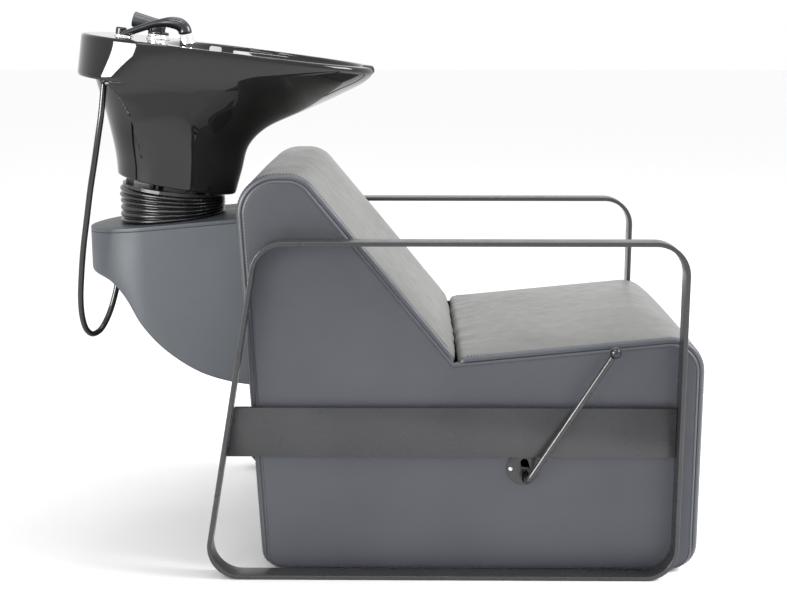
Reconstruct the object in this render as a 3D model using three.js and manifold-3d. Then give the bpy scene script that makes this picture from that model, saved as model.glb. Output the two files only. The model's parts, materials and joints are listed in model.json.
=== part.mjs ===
// Shampoo backwash unit: a reclined lounge chair between two bent flat-bar arm loops, with a
// tilting ceramic wash basin carried on a plumbing housing behind the backrest.
//
// Units are millimetres, +Z is up and +X is the way the client faces. The origin is on the floor,
// under the middle of the unit. The client's right is -Y and the left is +Y.
//
// The fixed frame is the two loops, joined by bands and cross tubes, with a spine running back
// into the housing. The lounge slides forward on it. The basin, its taps and its drain parts are
// drawn in the basin's own frame: x runs forward along the rim, z is up from the rim, and the
// origin is the middle of the rim's rear edge.

import * as THREE from 'three';
import { mergeVertices } from 'three/addons/utils/BufferGeometryUtils.js';
import Module from 'manifold-3d';

const wasm = await Module();
wasm.setup();

const { PI, cos, sin, hypot, abs, sign } = Math;
const degrees = THREE.MathUtils.degToRad;

// ---- driving dimensions -------------------------------------------------------------------------

const GAP = 0.3; // clearance between pieces that touch
const SIDES = [['right', -1], ['left', 1]];

// arm loops: flat bar bent into a closed loop, standing on the floor
const BAR_WIDTH = 40;
const BAR_THICK = 8;
const LOOP_OUTER_Y = 340;
const LOOP_INNER_Y = LOOP_OUTER_Y - BAR_WIDTH;
const LOOP_TOP = 633;
const LOOP_FRONT_X = 550;
const LOOP_REAR_FOOT_X = -331;
const LOOP_REAR_TOP_X = -222;
const LOOP_BEND = 62;

// bands: wide flat plates across the loops
const BAND_LOW = 229;
const BAND_HIGH = 322;
const BAND_THICK = 10;

// lounge body
const BODY_LOW = 4;
const BODY_FRONT_X = 593;
const BODY_REAR_FOOT_X = -221;
const BODY_TOP = 747;
const BODY_REAR_TOP_X = -262;
const BACK_TOP_X = -138;
const CROTCH_X = 139;
const CROTCH_Z = 411;
const SEAT_FRONT_Z = 457;
const COVER = 9; // depth of the wrapped cover outside the side panels' edges
const COVER_HALF_WIDTH = 292;
const PANEL_OUTER_Y = 296;
const PANEL_INNER_Y = 280;
const CUSHION_DEPTH = 62;
const BOARD_THICK = 12;

// slide and cross tubes
const SLIDE_TRAVEL = 90;
const TUBE_LOW = 255;
const TUBE_HIGH = 285;
const TUBE_LENGTH_X = 50;
const TUBE_FRONT_X = 330;
const TUBE_REAR_X = -100;
const TUBE_WALL = 2.5;

// housing behind the backrest
const POD_HALF_WIDTH = 128;
const POD_REAR_X = -584;
const POD_REAR_Z = 616;
const POD_FRONT_X = -260;
const POD_TOP_SLOPE = 0.0911;
const POD_WALL = 4;
const LID_THICK = 8;

// tilt joint and bellows
const PIVOT_X = -420;
const PIVOT_Z = 660;
const PIN_RADIUS = 7;
const PIN_CLEARANCE = 0.09;
const BELLOWS_RADIUS = 104;
const BELLOWS_FOLDS = 6;
const HOSE_RADIUS = 5.8;

// basin, in the basin's own frame
const BASIN_REAR_X = -584;
const BASIN_REAR_Z = 997.5;
const BASIN_LEAN = degrees(7.1);
const BASIN_LENGTH = 570;
const DECK_REAR = 13;
const APRON_HALF = 235;
const APRON_HEIGHT = 77;
const SKIRT_LOW = -270;
const BOWL_DEPTH = 198;
const DECK_DEPTH = 174;
const CERAMIC = 12;
const DRAIN_X = 245;
const PLATE_LOW = -289;
const PLATE_THICK = 6;

// taps, in the basin's own frame
const MIXER_X = 137;
const MIXER_Y = 45;
const MIXER_PIVOT_Z = 25;
const SPRAY_X = 86;
const SPRAY_Y = -45;
const HOLE_COVER_X = 60;
const HOLE_COVER_Y = 60;

// release lever on the right side panel
const LEVER_PIVOT_X = 192;
const LEVER_PIVOT_Z = 191;
const LEVER_FOOT_X = 270;
const LEVER_FOOT_Z = 185;
const LEVER_KNOB_X = 424;
const LEVER_KNOB_Z = 430;
const LEVER_Y = -324;
const LEVER_RADIUS = 5.75;
const KNOB_RADIUS = 10.5;
const LEVER_THROW = degrees(21);
const ESCUTCHEON_X = 264;
const ESCUTCHEON_Z = 203;
const ESCUTCHEON_RADIUS = 31;

// ---- materials ----------------------------------------------------------------------------------

function finish(color, roughness, metalness) {
  return new THREE.MeshStandardMaterial({ color, roughness, metalness });
}

const leatherSide = finish(0x5b606b, 0.55, 0);
const leatherTop = finish(0x85878a, 0.5, 0);
const blackSteel = finish(0x232427, 0.45, 0.6);
const blackCeramic = finish(0x0b0b0c, 0.06, 0);
const housingPaint = finish(0x5c646e, 0.6, 0.1);
const blackRubber = finish(0x111112, 0.35, 0);
const blackPlastic = finish(0x1a1b1d, 0.4, 0);
const chrome = finish(0xdadde0, 0.08, 1);
const zincSteel = finish(0x9aa0a6, 0.45, 0.8);
const plywood = finish(0xb08a5a, 0.75, 0);
const greyPlastic = finish(0x8d9196, 0.5, 0);

// ---- geometry helpers ---------------------------------------------------------------------------

// Joins shared vertices, drops collapsed triangles and turns the faces out.
function closed(geometry) {
  geometry.deleteAttribute('normal');
  geometry.deleteAttribute('uv');
  const merged = mergeVertices(geometry, 1e-4);
  const position = merged.attributes.position;
  const index = merged.index.array;
  const kept = [];
  const [a, b, c] = [new THREE.Vector3(), new THREE.Vector3(), new THREE.Vector3()];
  let volume = 0;
  for (let i = 0; i < index.length; i += 3) {
    const [p, q, r] = [index[i], index[i + 1], index[i + 2]];
    if (p === q || q === r || r === p) continue;
    kept.push([p, q, r]);
    a.fromBufferAttribute(position, p);
    b.fromBufferAttribute(position, q);
    c.fromBufferAttribute(position, r);
    volume += a.dot(b.cross(c));
  }
  merged.setIndex(kept.flatMap(([p, q, r]) => (volume < 0 ? [p, r, q] : [p, q, r])));
  merged.computeVertexNormals();
  return merged;
}

function solid(geometry) {
  const shape = closed(geometry);
  const vertProperties = Float32Array.from(shape.attributes.position.array);
  const triVerts = Uint32Array.from(shape.index.array);
  return new wasm.Manifold(new wasm.Mesh({ numProp: 3, vertProperties, triVerts }));
}

function surface(manifold) {
  const mesh = manifold.getMesh();
  const geometry = new THREE.BufferGeometry();
  geometry.setAttribute('position', new THREE.BufferAttribute(mesh.vertProperties, 3));
  geometry.setIndex(new THREE.BufferAttribute(mesh.triVerts, 1));
  geometry.computeVertexNormals();
  return geometry;
}

function joined(first, ...others) {
  return others.reduce((sum, other) => sum.add(solid(other)), solid(first));
}

function cut(first, ...others) {
  return others.reduce((rest, other) => rest.subtract(solid(other)), solid(first));
}

// Points of an outline given as corners [x, y, radius], each corner rounded by an arc.
function rounded(corners, arcStep = PI / 12) {
  const points = [];
  corners.forEach(([x, y, radius = 0], i) => {
    const here = new THREE.Vector2(x, y);
    if (radius === 0) {
      points.push(here);
      return;
    }
    const before = corners.at(i - 1);
    const after = corners[(i + 1) % corners.length];
    const back = new THREE.Vector2(before[0] - x, before[1] - y).normalize();
    const ahead = new THREE.Vector2(after[0] - x, after[1] - y).normalize();
    const half = Math.acos(back.dot(ahead)) / 2;
    const middle = back.clone().add(ahead).normalize();
    const centre = here.clone().addScaledVector(middle, radius / sin(half));
    const start = here.clone().addScaledVector(back, radius / Math.tan(half)).sub(centre).angle();
    const turn = (PI - 2 * half) * (back.cross(ahead) > 0 ? -1 : 1);
    const steps = Math.max(1, Math.ceil(abs(turn) / arcStep));
    for (let k = 0; k <= steps; k += 1) {
      const angle = start + (turn * k) / steps;
      points.push(new THREE.Vector2(centre.x + radius * cos(angle), centre.y + radius * sin(angle)));
    }
  });
  return points;
}

// Moves the sides of a counterclockwise outline inward and shrinks or grows its corner radii to suit.
function inset(corners, distance) {
  return corners.map(([x, y, radius = 0], i) => {
    const before = corners.at(i - 1);
    const after = corners[(i + 1) % corners.length];
    const come = new THREE.Vector2(x - before[0], y - before[1]).normalize();
    const go = new THREE.Vector2(after[0] - x, after[1] - y).normalize();
    const reach = distance / (1 + come.dot(go));
    const size = radius === 0 ? 0 : Math.max(radius - sign(come.cross(go)) * distance, 1);
    return [x - (come.y + go.y) * reach, y + (come.x + go.x) * reach, size];
  });
}

function circle(x, y, radius, sides = 24) {
  return Array.from({ length: sides }, (_, k) => {
    const angle = (2 * PI * (k + 0.5)) / sides;
    return new THREE.Vector2(x + radius * cos(angle), y + radius * sin(angle));
  });
}

function extruded(points, depth, holes = []) {
  const shape = new THREE.Shape(points);
  shape.holes = holes.map((hole) => new THREE.Path(hole));
  return new THREE.ExtrudeGeometry(shape, { depth, bevelEnabled: false });
}

// A plate whose outline is in X and Z, from one Y to another.
function sidePlate(points, yLow, yHigh, holes = []) {
  const plate = extruded(points, yHigh - yLow, holes);
  plate.rotateX(PI / 2);
  plate.translate(0, yHigh, 0);
  return plate;
}

// A plate whose outline is in X and Y, from one Z to another.
function levelPlate(points, zLow, zHigh, holes = []) {
  const plate = extruded(points, zHigh - zLow, holes);
  plate.translate(0, 0, zLow);
  return plate;
}

// A bar whose section is in Y and Z, from one X to another.
function longBar(points, xLow, xHigh, holes = []) {
  const bar = extruded(points, xHigh - xLow, holes);
  const [x, y, z] = [new THREE.Vector3(0, 1, 0), new THREE.Vector3(0, 0, 1), new THREE.Vector3(1, 0, 0)];
  bar.applyMatrix4(new THREE.Matrix4().makeBasis(x, y, z));
  bar.translate(xLow, 0, 0);
  return bar;
}

function rectangle(xLow, xHigh, yLow, yHigh, radius = 0) {
  return rounded([
    [xLow, yLow, radius],
    [xHigh, yLow, radius],
    [xHigh, yHigh, radius],
    [xLow, yHigh, radius],
  ]);
}

function block(xLow, xHigh, yLow, yHigh, zLow, zHigh) {
  const box = new THREE.BoxGeometry(xHigh - xLow, yHigh - yLow, zHigh - zLow);
  box.translate((xLow + xHigh) / 2, (yLow + yHigh) / 2, (zLow + zHigh) / 2);
  return box;
}

// A turned piece standing on Z. Its profile is [radius, height] pairs.
function turned(profile, sides = 24) {
  const lathe = new THREE.LatheGeometry(profile.map(([r, z]) => new THREE.Vector2(r, z)), sides);
  lathe.rotateX(PI / 2);
  return lathe;
}

function rod(radius, xyz, length, sides = 20) {
  const bar = new THREE.CylinderGeometry(radius, radius, length, sides);
  bar.translate(xyz[0], xyz[1], xyz[2]);
  return bar;
}

function tube(points, radius, steps, sides = 10, bore = 0) {
  const path = new THREE.CatmullRomCurve3(points.map((p) => new THREE.Vector3(...p)));
  const shape = new THREE.Shape(circle(0, 0, radius, sides));
  if (bore > 0) shape.holes = [new THREE.Path(circle(0, 0, bore, sides))];
  return new THREE.ExtrudeGeometry(shape, { steps, extrudePath: path, bevelEnabled: false });
}

// Skins a stack of rings with equal numbers of points, and caps its ends unless it loops.
function loft(rings, looped = false) {
  const count = rings[0].length;
  const points = rings.flat();
  const index = [];
  const bands = looped ? rings.length : rings.length - 1;
  for (let r = 0; r < bands; r += 1) {
    const above = ((r + 1) % rings.length) * count;
    for (let k = 0; k < count; k += 1) {
      const next = (k + 1) % count;
      const [a, b, c, d] = [r * count + k, r * count + next, above + next, above + k];
      index.push(a, b, c, a, c, d);
    }
  }
  if (!looped) {
    const last = (rings.length - 1) * count;
    const ends = [rings[0], rings.at(-1)].map((ring) => {
      const middle = new THREE.Vector3();
      ring.forEach((p) => middle.addScaledVector(p, 1 / count));
      return points.push(middle) - 1;
    });
    for (let k = 0; k < count; k += 1) {
      const next = (k + 1) % count;
      index.push(ends[0], next, k, ends[1], last + k, last + next);
    }
  }
  const geometry = new THREE.BufferGeometry();
  const flat = points.flatMap((p) => [p.x, p.y, p.z]);
  geometry.setAttribute('position', new THREE.Float32BufferAttribute(flat, 3));
  geometry.setIndex(index);
  return geometry;
}

// ---- assembly -----------------------------------------------------------------------------------

const unit = new THREE.Group();
const basinGroup = new THREE.Group();
basinGroup.position.set(BASIN_REAR_X, 0, BASIN_REAR_Z);
basinGroup.rotation.y = BASIN_LEAN;
unit.add(basinGroup);

function place(group, name, shape, material) {
  const geometry = shape instanceof THREE.BufferGeometry ? closed(shape) : surface(shape);
  const mesh = new THREE.Mesh(geometry, material);
  mesh.name = name;
  group.add(mesh);
  return mesh;
}

// A point of the unit's frame in the basin's own frame.
function inBasin(x, z) {
  const [dx, dz] = [x - BASIN_REAR_X, z - BASIN_REAR_Z];
  return [dx * cos(BASIN_LEAN) - dz * sin(BASIN_LEAN), dx * sin(BASIN_LEAN) + dz * cos(BASIN_LEAN)];
}

// ---- fixed frame --------------------------------------------------------------------------------

const loopOutline = [
  [LOOP_REAR_FOOT_X, 0, LOOP_BEND],
  [LOOP_FRONT_X, 0, LOOP_BEND],
  [LOOP_FRONT_X, LOOP_TOP, LOOP_BEND],
  [LOOP_REAR_TOP_X, LOOP_TOP, LOOP_BEND],
];

function armLoop(side) {
  const [low, high] = [side * LOOP_INNER_Y, side * LOOP_OUTER_Y].sort((a, b) => a - b);
  return sidePlate(rounded(loopOutline), low, high, [rounded(inset(loopOutline, BAR_THICK))]);
}

// The loop's rear leg leans, so the band's rear end is cut to the same slope.
function sideBand(side) {
  const lean = (LOOP_REAR_TOP_X - LOOP_REAR_FOOT_X) / LOOP_TOP;
  const rear = (z) => LOOP_REAR_FOOT_X + lean * z + BAR_THICK * hypot(1, lean) + GAP;
  const front = LOOP_FRONT_X - BAR_THICK - GAP;
  const outline = [
    [rear(BAND_LOW), BAND_LOW],
    [front, BAND_LOW],
    [front, BAND_HIGH],
    [rear(BAND_HIGH), BAND_HIGH],
  ];
  const [low, high] = [side * LOOP_INNER_Y, side * (LOOP_INNER_Y + BAND_THICK)].sort((a, b) => a - b);
  return sidePlate(rounded(outline), low, high);
}

function crossTube(x) {
  const end = LOOP_INNER_Y - GAP;
  const outer = rectangle(x, x + TUBE_LENGTH_X, TUBE_LOW, TUBE_HIGH);
  const [boreLow, boreHigh] = [TUBE_LOW + TUBE_WALL, TUBE_HIGH - TUBE_WALL];
  const bore = rectangle(x + TUBE_WALL, x + TUBE_LENGTH_X - TUBE_WALL, boreLow, boreHigh);
  return sidePlate(outer, -end, end, [bore]);
}

const RAIL_Y = [205, 229];
const RAIL_HIGH = TUBE_HIGH + 34;
const RAIL_WALL = 3;

// A channel that opens outward, towards the runner that slides in it.
function slideRail(side) {
  const z = TUBE_HIGH + GAP;
  const section = [
    [RAIL_Y[0], z],
    [RAIL_Y[1], z],
    [RAIL_Y[1], z + RAIL_WALL],
    [RAIL_Y[0] + RAIL_WALL, z + RAIL_WALL],
    [RAIL_Y[0] + RAIL_WALL, RAIL_HIGH - RAIL_WALL],
    [RAIL_Y[1], RAIL_HIGH - RAIL_WALL],
    [RAIL_Y[1], RAIL_HIGH],
    [RAIL_Y[0], RAIL_HIGH],
  ];
  const points = section.map(([y, height]) => new THREE.Vector2(side * y, height));
  return longBar(points, TUBE_REAR_X, TUBE_FRONT_X + TUBE_LENGTH_X);
}

const SPINE_HALF_WIDTH = 30;
const SPINE_LOW = 440;
const SPINE_HIGH = 490;
const PEDESTAL_X = [-445, -345];

// Post on the rear cross tube and beam back into the housing, welded as one piece.
function spineFrame() {
  const w = SPINE_HALF_WIDTH;
  const post = block(TUBE_REAR_X, TUBE_REAR_X + TUBE_LENGTH_X, -w, w, TUBE_HIGH + GAP, SPINE_HIGH);
  const beam = block(PEDESTAL_X[0], TUBE_REAR_X + TUBE_LENGTH_X, -w, w, SPINE_LOW, SPINE_HIGH);
  return joined(post, beam);
}

const BRAKE_Y = [-243, -222];
const BRAKE_BAR_LOW = 246;

function brakeBar() {
  const end = TUBE_FRONT_X + TUBE_LENGTH_X;
  return block(end - 230, end, BRAKE_Y[0], BRAKE_Y[1], BRAKE_BAR_LOW, TUBE_LOW - GAP);
}

const PEDESTAL_HALF_WIDTH = 80;
const PEDESTAL_HIGH = 610;
const PEDESTAL_BAR = 10;
const DRAIN_FOOT_X = -383; // where the drain's line passes down through the tilt joint
const DRAIN_HOLE = 30;

// Welded box frame that stands on the spine and carries the tilt joint.
function pedestalFrame() {
  const w = PEDESTAL_HALF_WIDTH;
  const low = SPINE_HIGH + GAP;
  const half = w - PEDESTAL_BAR;
  const window = rectangle(-half, half, low + PEDESTAL_BAR, PEDESTAL_HIGH - PEDESTAL_BAR);
  const frame = longBar(rectangle(-w, w, low, PEDESTAL_HIGH), PEDESTAL_X[0], PEDESTAL_X[1], [window]);
  const holeOutline = circle(DRAIN_FOOT_X, 0, DRAIN_HOLE);
  const hole = levelPlate(holeOutline, PEDESTAL_HIGH - 2 * PEDESTAL_BAR, PEDESTAL_HIGH + 5);
  return cut(frame, hole);
}

// ---- housing ------------------------------------------------------------------------------------

const podFloor = new THREE.SplineCurve([
  [-577, 530],
  [-530, 517],
  [-500, 488],
  [-468, 434],
  [-425, 386],
  [-360, 342],
  [-300, 322],
  [-243, 313],
].map(([x, z]) => new THREE.Vector2(x, z)));

function podTop(x) {
  return POD_REAR_Z + POD_TOP_SLOPE * (x - POD_REAR_X);
}

// Side outline of the housing, moved inward by a wall, up to a given depth under its top face.
function podProfile(wall, below) {
  const floor = podFloor.getPoints(16).map((p) => new THREE.Vector2(p.x + wall * 0.5, p.y + wall));
  const rear = POD_REAR_X + wall;
  const front = POD_FRONT_X + (wall > 0 ? 40 : 0);
  const corners = [front, rear].map((x) => new THREE.Vector2(x, podTop(x) - below));
  const foot = new THREE.Vector2(floor.at(-1).x + (wall > 0 ? 40 : 0), floor.at(-1).y);
  return [...floor, foot, ...corners].filter((p, i, all) => i === 0 || p.distanceTo(all[i - 1]) > 0.01);
}

function podPlan(wall) {
  const r = POD_HALF_WIDTH - wall;
  const centre = POD_REAR_X + POD_HALF_WIDTH;
  const arc = Array.from({ length: 25 }, (_, k) => {
    const angle = PI / 2 + (PI * k) / 24;
    return new THREE.Vector2(centre + r * cos(angle), r * sin(angle));
  });
  return [...arc, new THREE.Vector2(-200, -r), new THREE.Vector2(-200, r)];
}

function podBody(wall, below) {
  const w = POD_HALF_WIDTH + 20;
  const profile = solid(sidePlate(podProfile(wall, below), -w, w));
  return profile.intersect(solid(levelPlate(podPlan(wall), 280, 700)));
}

function podShell() {
  const glandHole = levelPlate(circle(GLAND.x, GLAND.y, GLAND_STEM + 0.5), GLAND.low, GLAND.low + 30);
  return podBody(0, LID_THICK + GAP).subtract(podBody(POD_WALL, -40)).subtract(solid(glandHole));
}

const LID_HOLE = 86;

function podLid() {
  const w = POD_HALF_WIDTH + 20;
  const ends = [POD_REAR_X, POD_FRONT_X];
  const slab = ends.map((x) => new THREE.Vector2(x, podTop(x) - LID_THICK));
  slab.push(...ends.reverse().map((x) => new THREE.Vector2(x, podTop(x))));
  const plan = levelPlate(podPlan(0), 560, 700, [circle(PIVOT_X, 0, LID_HOLE, 32)]);
  return solid(sidePlate(slab, -w, w)).intersect(solid(plan));
}

const MOUNT_PLATE_X = [-276, -270];
const PASSAGE = { halfWidth: 98, low: 425, high: 505 }; // opening for the spine and the waste pipe

// Steel plate on the spine that closes the housing's front.
function podMountPlate() {
  const w = POD_HALF_WIDTH - POD_WALL - 3;
  const plate = longBar(rectangle(-w, w, 328, 630), MOUNT_PLATE_X[0], MOUNT_PLATE_X[1]);
  const spineHalf = SPINE_HALF_WIDTH + GAP;
  const spine = block(-300, -250, -spineHalf, spineHalf, SPINE_LOW - GAP, SPINE_HIGH + GAP);
  const pipe = block(-300, -250, 38, 90, 440, 510);
  return cut(plate, spine, pipe);
}

const GLAND = { x: -535, y: -20, low: 508 };
const GLAND_STEM = 9;

// Rubber gland in the housing's underside, where the spray hose goes in.
function hoseGland() {
  const flange = [[0, 0], [8, 0], [11, 3], [11, 4.5]];
  const gland = turned([...flange, [GLAND_STEM, 4.5], [GLAND_STEM, 24], [0, 24]], 16);
  gland.translate(GLAND.x, GLAND.y, GLAND.low);
  return gland;
}

// ---- tilt joint, bellows and waste --------------------------------------------------------------

const YOKE_EAR = 6;
const LOWER_EAR_Y = 54;
const UPPER_EAR_Y = LOWER_EAR_Y - YOKE_EAR - 1;

function tiltYokeLower() {
  const low = PEDESTAL_HIGH + GAP;
  const half = LOWER_EAR_Y + YOKE_EAR;
  const base = block(PEDESTAL_X[0], PEDESTAL_X[1], -half, half, low, low + 6);
  const outline = rounded([
    [PIVOT_X - 18, low],
    [PIVOT_X + 18, low],
    [PIVOT_X + 16, PIVOT_Z + 14, 14],
    [PIVOT_X - 16, PIVOT_Z + 14, 14],
  ]);
  const ears = SIDES.map(([, side]) => {
    const [y0, y1] = [side * LOWER_EAR_Y, side * (LOWER_EAR_Y + YOKE_EAR)].sort((a, b) => a - b);
    return sidePlate(outline, y0, y1, [circle(PIVOT_X, PIVOT_Z, PIN_RADIUS + PIN_CLEARANCE)]);
  });
  const hole = levelPlate(circle(DRAIN_FOOT_X, 0, DRAIN_HOLE), low - 5, low + 11);
  return joined(base, ...ears).subtract(solid(hole));
}

function tiltPin() {
  const half = LOWER_EAR_Y + YOKE_EAR + 4;
  return sidePlate(circle(PIVOT_X, PIVOT_Z, PIN_RADIUS), -half, half);
}

// A folded sleeve between the housing's lid and the tilting plate: tall behind, squeezed in front.
function bellows() {
  const count = 32;
  const wall = 3;
  const steps = BELLOWS_FOLDS * 2;
  const topSlope = -Math.tan(BASIN_LEAN);
  const plateZ = BASIN_REAR_Z + topSlope * (PIVOT_X - BASIN_REAR_X) + (PLATE_LOW - GAP) / cos(BASIN_LEAN);
  const ring = (t, inner) => Array.from({ length: count }, (_, k) => {
    const angle = (2 * PI * k) / count;
    const fold = Math.round(t * steps) % 2 === 0 ? 0 : -9;
    const radius = BELLOWS_RADIUS - 5 + (t > 0 && t < 1 ? 5 + fold : fold) - (inner ? wall : 0);
    const x = PIVOT_X + radius * cos(angle);
    const low = podTop(x) + GAP;
    const high = plateZ + topSlope * (x - PIVOT_X);
    return new THREE.Vector3(x, radius * sin(angle), low + (high - low) * t);
  });
  const up = Array.from({ length: steps + 1 }, (_, i) => ring(i / steps, false));
  const down = Array.from({ length: steps + 1 }, (_, i) => ring(1 - i / steps, true));
  return loft([...up, ...down], true);
}

function wasteTrap() {
  const outside = [[0, 505], [20, 505], [27, 512], [27, 570], [20, 580], [20, 588]];
  const cup = turned([...outside, [15, 588], [15, 530], [0, 530]]);
  cup.translate(DRAIN_FOOT_X - 1, 0, 0);
  return cup;
}

// Ribbed flexible hose from the tilting tailpiece down into the trap.
function wasteHose() {
  const profile = [[14, 590]];
  for (let k = 0; k < 8; k += 1) {
    profile.push([k % 2 ? 14 : 18, 593 + k * 5]);
  }
  profile.push([14, 632], [11, 632], [11, 590], [14, 590]);
  const hose = turned(profile, 20);
  hose.translate(DRAIN_FOOT_X, 0, 0);
  return hose;
}

const WASTE_PIPE_RADIUS = 16;
const WASTE_PIPE_X = -25;
const WASTE_PIPE_Y = 62;
const WASTE_PIPE_LOW = 30;

// Waste pipe: out of the trap, beside the spine, through the backrest and down to the floor.
function wastePipe() {
  const route = [
    [-354, 0, 550],
    [-335, 8, 549],
    [-300, 52, 500],
    [-240, WASTE_PIPE_Y, 466],
    [-150, WASTE_PIPE_Y, 460],
    [-70, WASTE_PIPE_Y, 452],
    [-30, WASTE_PIPE_Y, 415],
    [WASTE_PIPE_X, WASTE_PIPE_Y, 360],
    [WASTE_PIPE_X, WASTE_PIPE_Y, 200],
    [WASTE_PIPE_X, WASTE_PIPE_Y, WASTE_PIPE_LOW],
  ];
  return tube(route, WASTE_PIPE_RADIUS, 22, 10, WASTE_PIPE_RADIUS - 3);
}

function supplyValve(side) {
  const valve = turned([[0, 0], [8, 0], [8, 12], [13, 12], [13, 26], [8, 26], [8, 44], [0, 44]], 12);
  valve.translate(-330, side * 100, 540);
  return valve;
}

// ---- lounge -------------------------------------------------------------------------------------

const bodyOutline = [
  [BODY_REAR_FOOT_X, BODY_LOW, 35],
  [BODY_FRONT_X, BODY_LOW, 48],
  [BODY_FRONT_X, SEAT_FRONT_Z, 65],
  [CROTCH_X, CROTCH_Z, 0],
  [BACK_TOP_X, BODY_TOP, 60],
  [BODY_REAR_TOP_X, BODY_TOP, 72],
];

// The side panels and the space inside the wrapped cover run down to the body's open bottom.
function bodyInside(depth) {
  return inset(bodyOutline.map(([x, z, r]) => [x, z === BODY_LOW ? z - depth : z, r]), depth);
}

const panelOutline = bodyInside(COVER);

// Direction down the backrest and the way square to it, into the body.
const backDown = new THREE.Vector2(CROTCH_X - BACK_TOP_X, CROTCH_Z - BODY_TOP).normalize();
const backIn = new THREE.Vector2(backDown.y, -backDown.x);
const seatRise = (SEAT_FRONT_Z - CROTCH_Z) / (BODY_FRONT_X - CROTCH_X);

function bodyRearX(z) {
  return BODY_REAR_FOOT_X + ((BODY_REAR_TOP_X - BODY_REAR_FOOT_X) * (z - BODY_LOW)) / (BODY_TOP - BODY_LOW);
}

function onBack(z, depth) {
  const along = (BODY_TOP - z + backIn.y * depth) / -backDown.y;
  return [BACK_TOP_X + backDown.x * along + backIn.x * depth, z];
}

function onSeat(x, depth) {
  return [x, CROTCH_Z + seatRise * (x - CROTCH_X) - depth];
}

function panelBlocks() {
  return SIDES.map(([, side]) => {
    const [low, high] = [side * (PANEL_INNER_Y - GAP), side * (PANEL_OUTER_Y + 10)].sort((a, b) => a - b);
    return sidePlate(rounded(inset(panelOutline, -GAP)), low, high);
  });
}

// Slots let each side panel slide past the cross tubes. The bands hide them.
function tubeSlot(x) {
  return rectangle(x - SLIDE_TRAVEL - 6, x + TUBE_LENGTH_X + 6, TUBE_LOW - 6, TUBE_HIGH + 6);
}

function polar(centre, radius, angle) {
  return new THREE.Vector2(centre.x + radius * cos(angle), centre.y + radius * sin(angle));
}

// The curved slot that the lever's foot travels in.
function leverSlot(width) {
  const reach = hypot(LEVER_FOOT_X - LEVER_PIVOT_X, LEVER_FOOT_Z - LEVER_PIVOT_Z);
  const rest = Math.atan2(LEVER_FOOT_Z - LEVER_PIVOT_Z, LEVER_FOOT_X - LEVER_PIVOT_X);
  const spare = 2 / reach;
  const [low, high] = [rest - spare, rest + LEVER_THROW + spare];
  const pivot = new THREE.Vector2(LEVER_PIVOT_X, LEVER_PIVOT_Z);
  const centre = (angle) => polar(pivot, reach, angle);
  const points = [];
  for (let k = 0; k <= 6; k += 1) {
    const angle = high + (PI * k) / 6;
    points.push(polar(centre(high), width, angle));
  }
  for (let k = 1; k < 6; k += 1) {
    points.push(polar(pivot, reach - width, high + ((low - high) * k) / 6));
  }
  for (let k = 0; k <= 6; k += 1) {
    const angle = low + PI + (PI * k) / 6;
    points.push(polar(centre(low), width, angle));
  }
  for (let k = 1; k < 6; k += 1) {
    points.push(polar(pivot, reach + width, low + ((high - low) * k) / 6));
  }
  return points;
}

function sidePanel(side) {
  const [low, high] = [side * PANEL_INNER_Y, side * PANEL_OUTER_Y].sort((a, b) => a - b);
  const holes = [tubeSlot(TUBE_FRONT_X), tubeSlot(TUBE_REAR_X)];
  if (side < 0) holes.push(leverSlot(LEVER_RADIUS + 3));
  const cutters = holes.map((hole) => sidePlate(hole, low - 5, high + 5));
  return cut(sidePlate(rounded(panelOutline), low, high), ...cutters);
}

const SEAT_CUSHION_LOW = 372;
const BACK_CUSHION_LOW = 650;
const WIDE = 400;

function seatCushion() {
  const region = rounded([
    [CROTCH_X + 4, onSeat(CROTCH_X + 4, CUSHION_DEPTH)[1]],
    onSeat(520, CUSHION_DEPTH),
    [540, SEAT_CUSHION_LOW],
    [BODY_FRONT_X, SEAT_CUSHION_LOW],
    [BODY_FRONT_X, SEAT_FRONT_Z, 65],
    [CROTCH_X + 4, onSeat(CROTCH_X + 4, 0)[1]],
  ]);
  return cut(sidePlate(region, -COVER_HALF_WIDTH, COVER_HALF_WIDTH), ...panelBlocks());
}

function backrestCushion() {
  const seatEdge = onSeat(CROTCH_X, 0)[1];
  const region = rounded([
    onBack(seatEdge - 30, CUSHION_DEPTH),
    [CROTCH_X - 2, seatEdge - 30],
    [CROTCH_X - 2, seatEdge + 3],
    [BACK_TOP_X, BODY_TOP, 60],
    [BODY_REAR_TOP_X, BODY_TOP, 72],
    [bodyRearX(BACK_CUSHION_LOW), BACK_CUSHION_LOW],
    onBack(BACK_CUSHION_LOW, CUSHION_DEPTH),
  ]);
  return cut(sidePlate(region, -COVER_HALF_WIDTH, COVER_HALF_WIDTH), ...panelBlocks());
}

// A strip of the wrapped cover that lies outside the side panels' edges, above one height and below another.
function coverStrip(xLow, xHigh, zLow, zHigh) {
  const outer = sidePlate(rounded(bodyOutline), -COVER_HALF_WIDTH, COVER_HALF_WIDTH);
  const inner = sidePlate(rounded(bodyInside(COVER - GAP)), -WIDE, WIDE);
  return cut(outer, inner).intersect(solid(block(xLow, xHigh, -WIDE, WIDE, zLow, zHigh)));
}

const HEM = BODY_LOW + 4; // the strips' lower ends, where they wrap under the body

function frontPanel() {
  return coverStrip(BODY_FRONT_X - 70, BODY_FRONT_X + 10, HEM, SEAT_CUSHION_LOW - GAP);
}

function rearPanel() {
  const strip = coverStrip(BODY_REAR_TOP_X - 10, BODY_REAR_FOOT_X + 50, HEM, BACK_CUSHION_LOW - GAP);
  const passage = block(-300, -200, -PASSAGE.halfWidth, PASSAGE.halfWidth, PASSAGE.low, PASSAGE.high);
  return strip.subtract(solid(passage));
}

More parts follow.
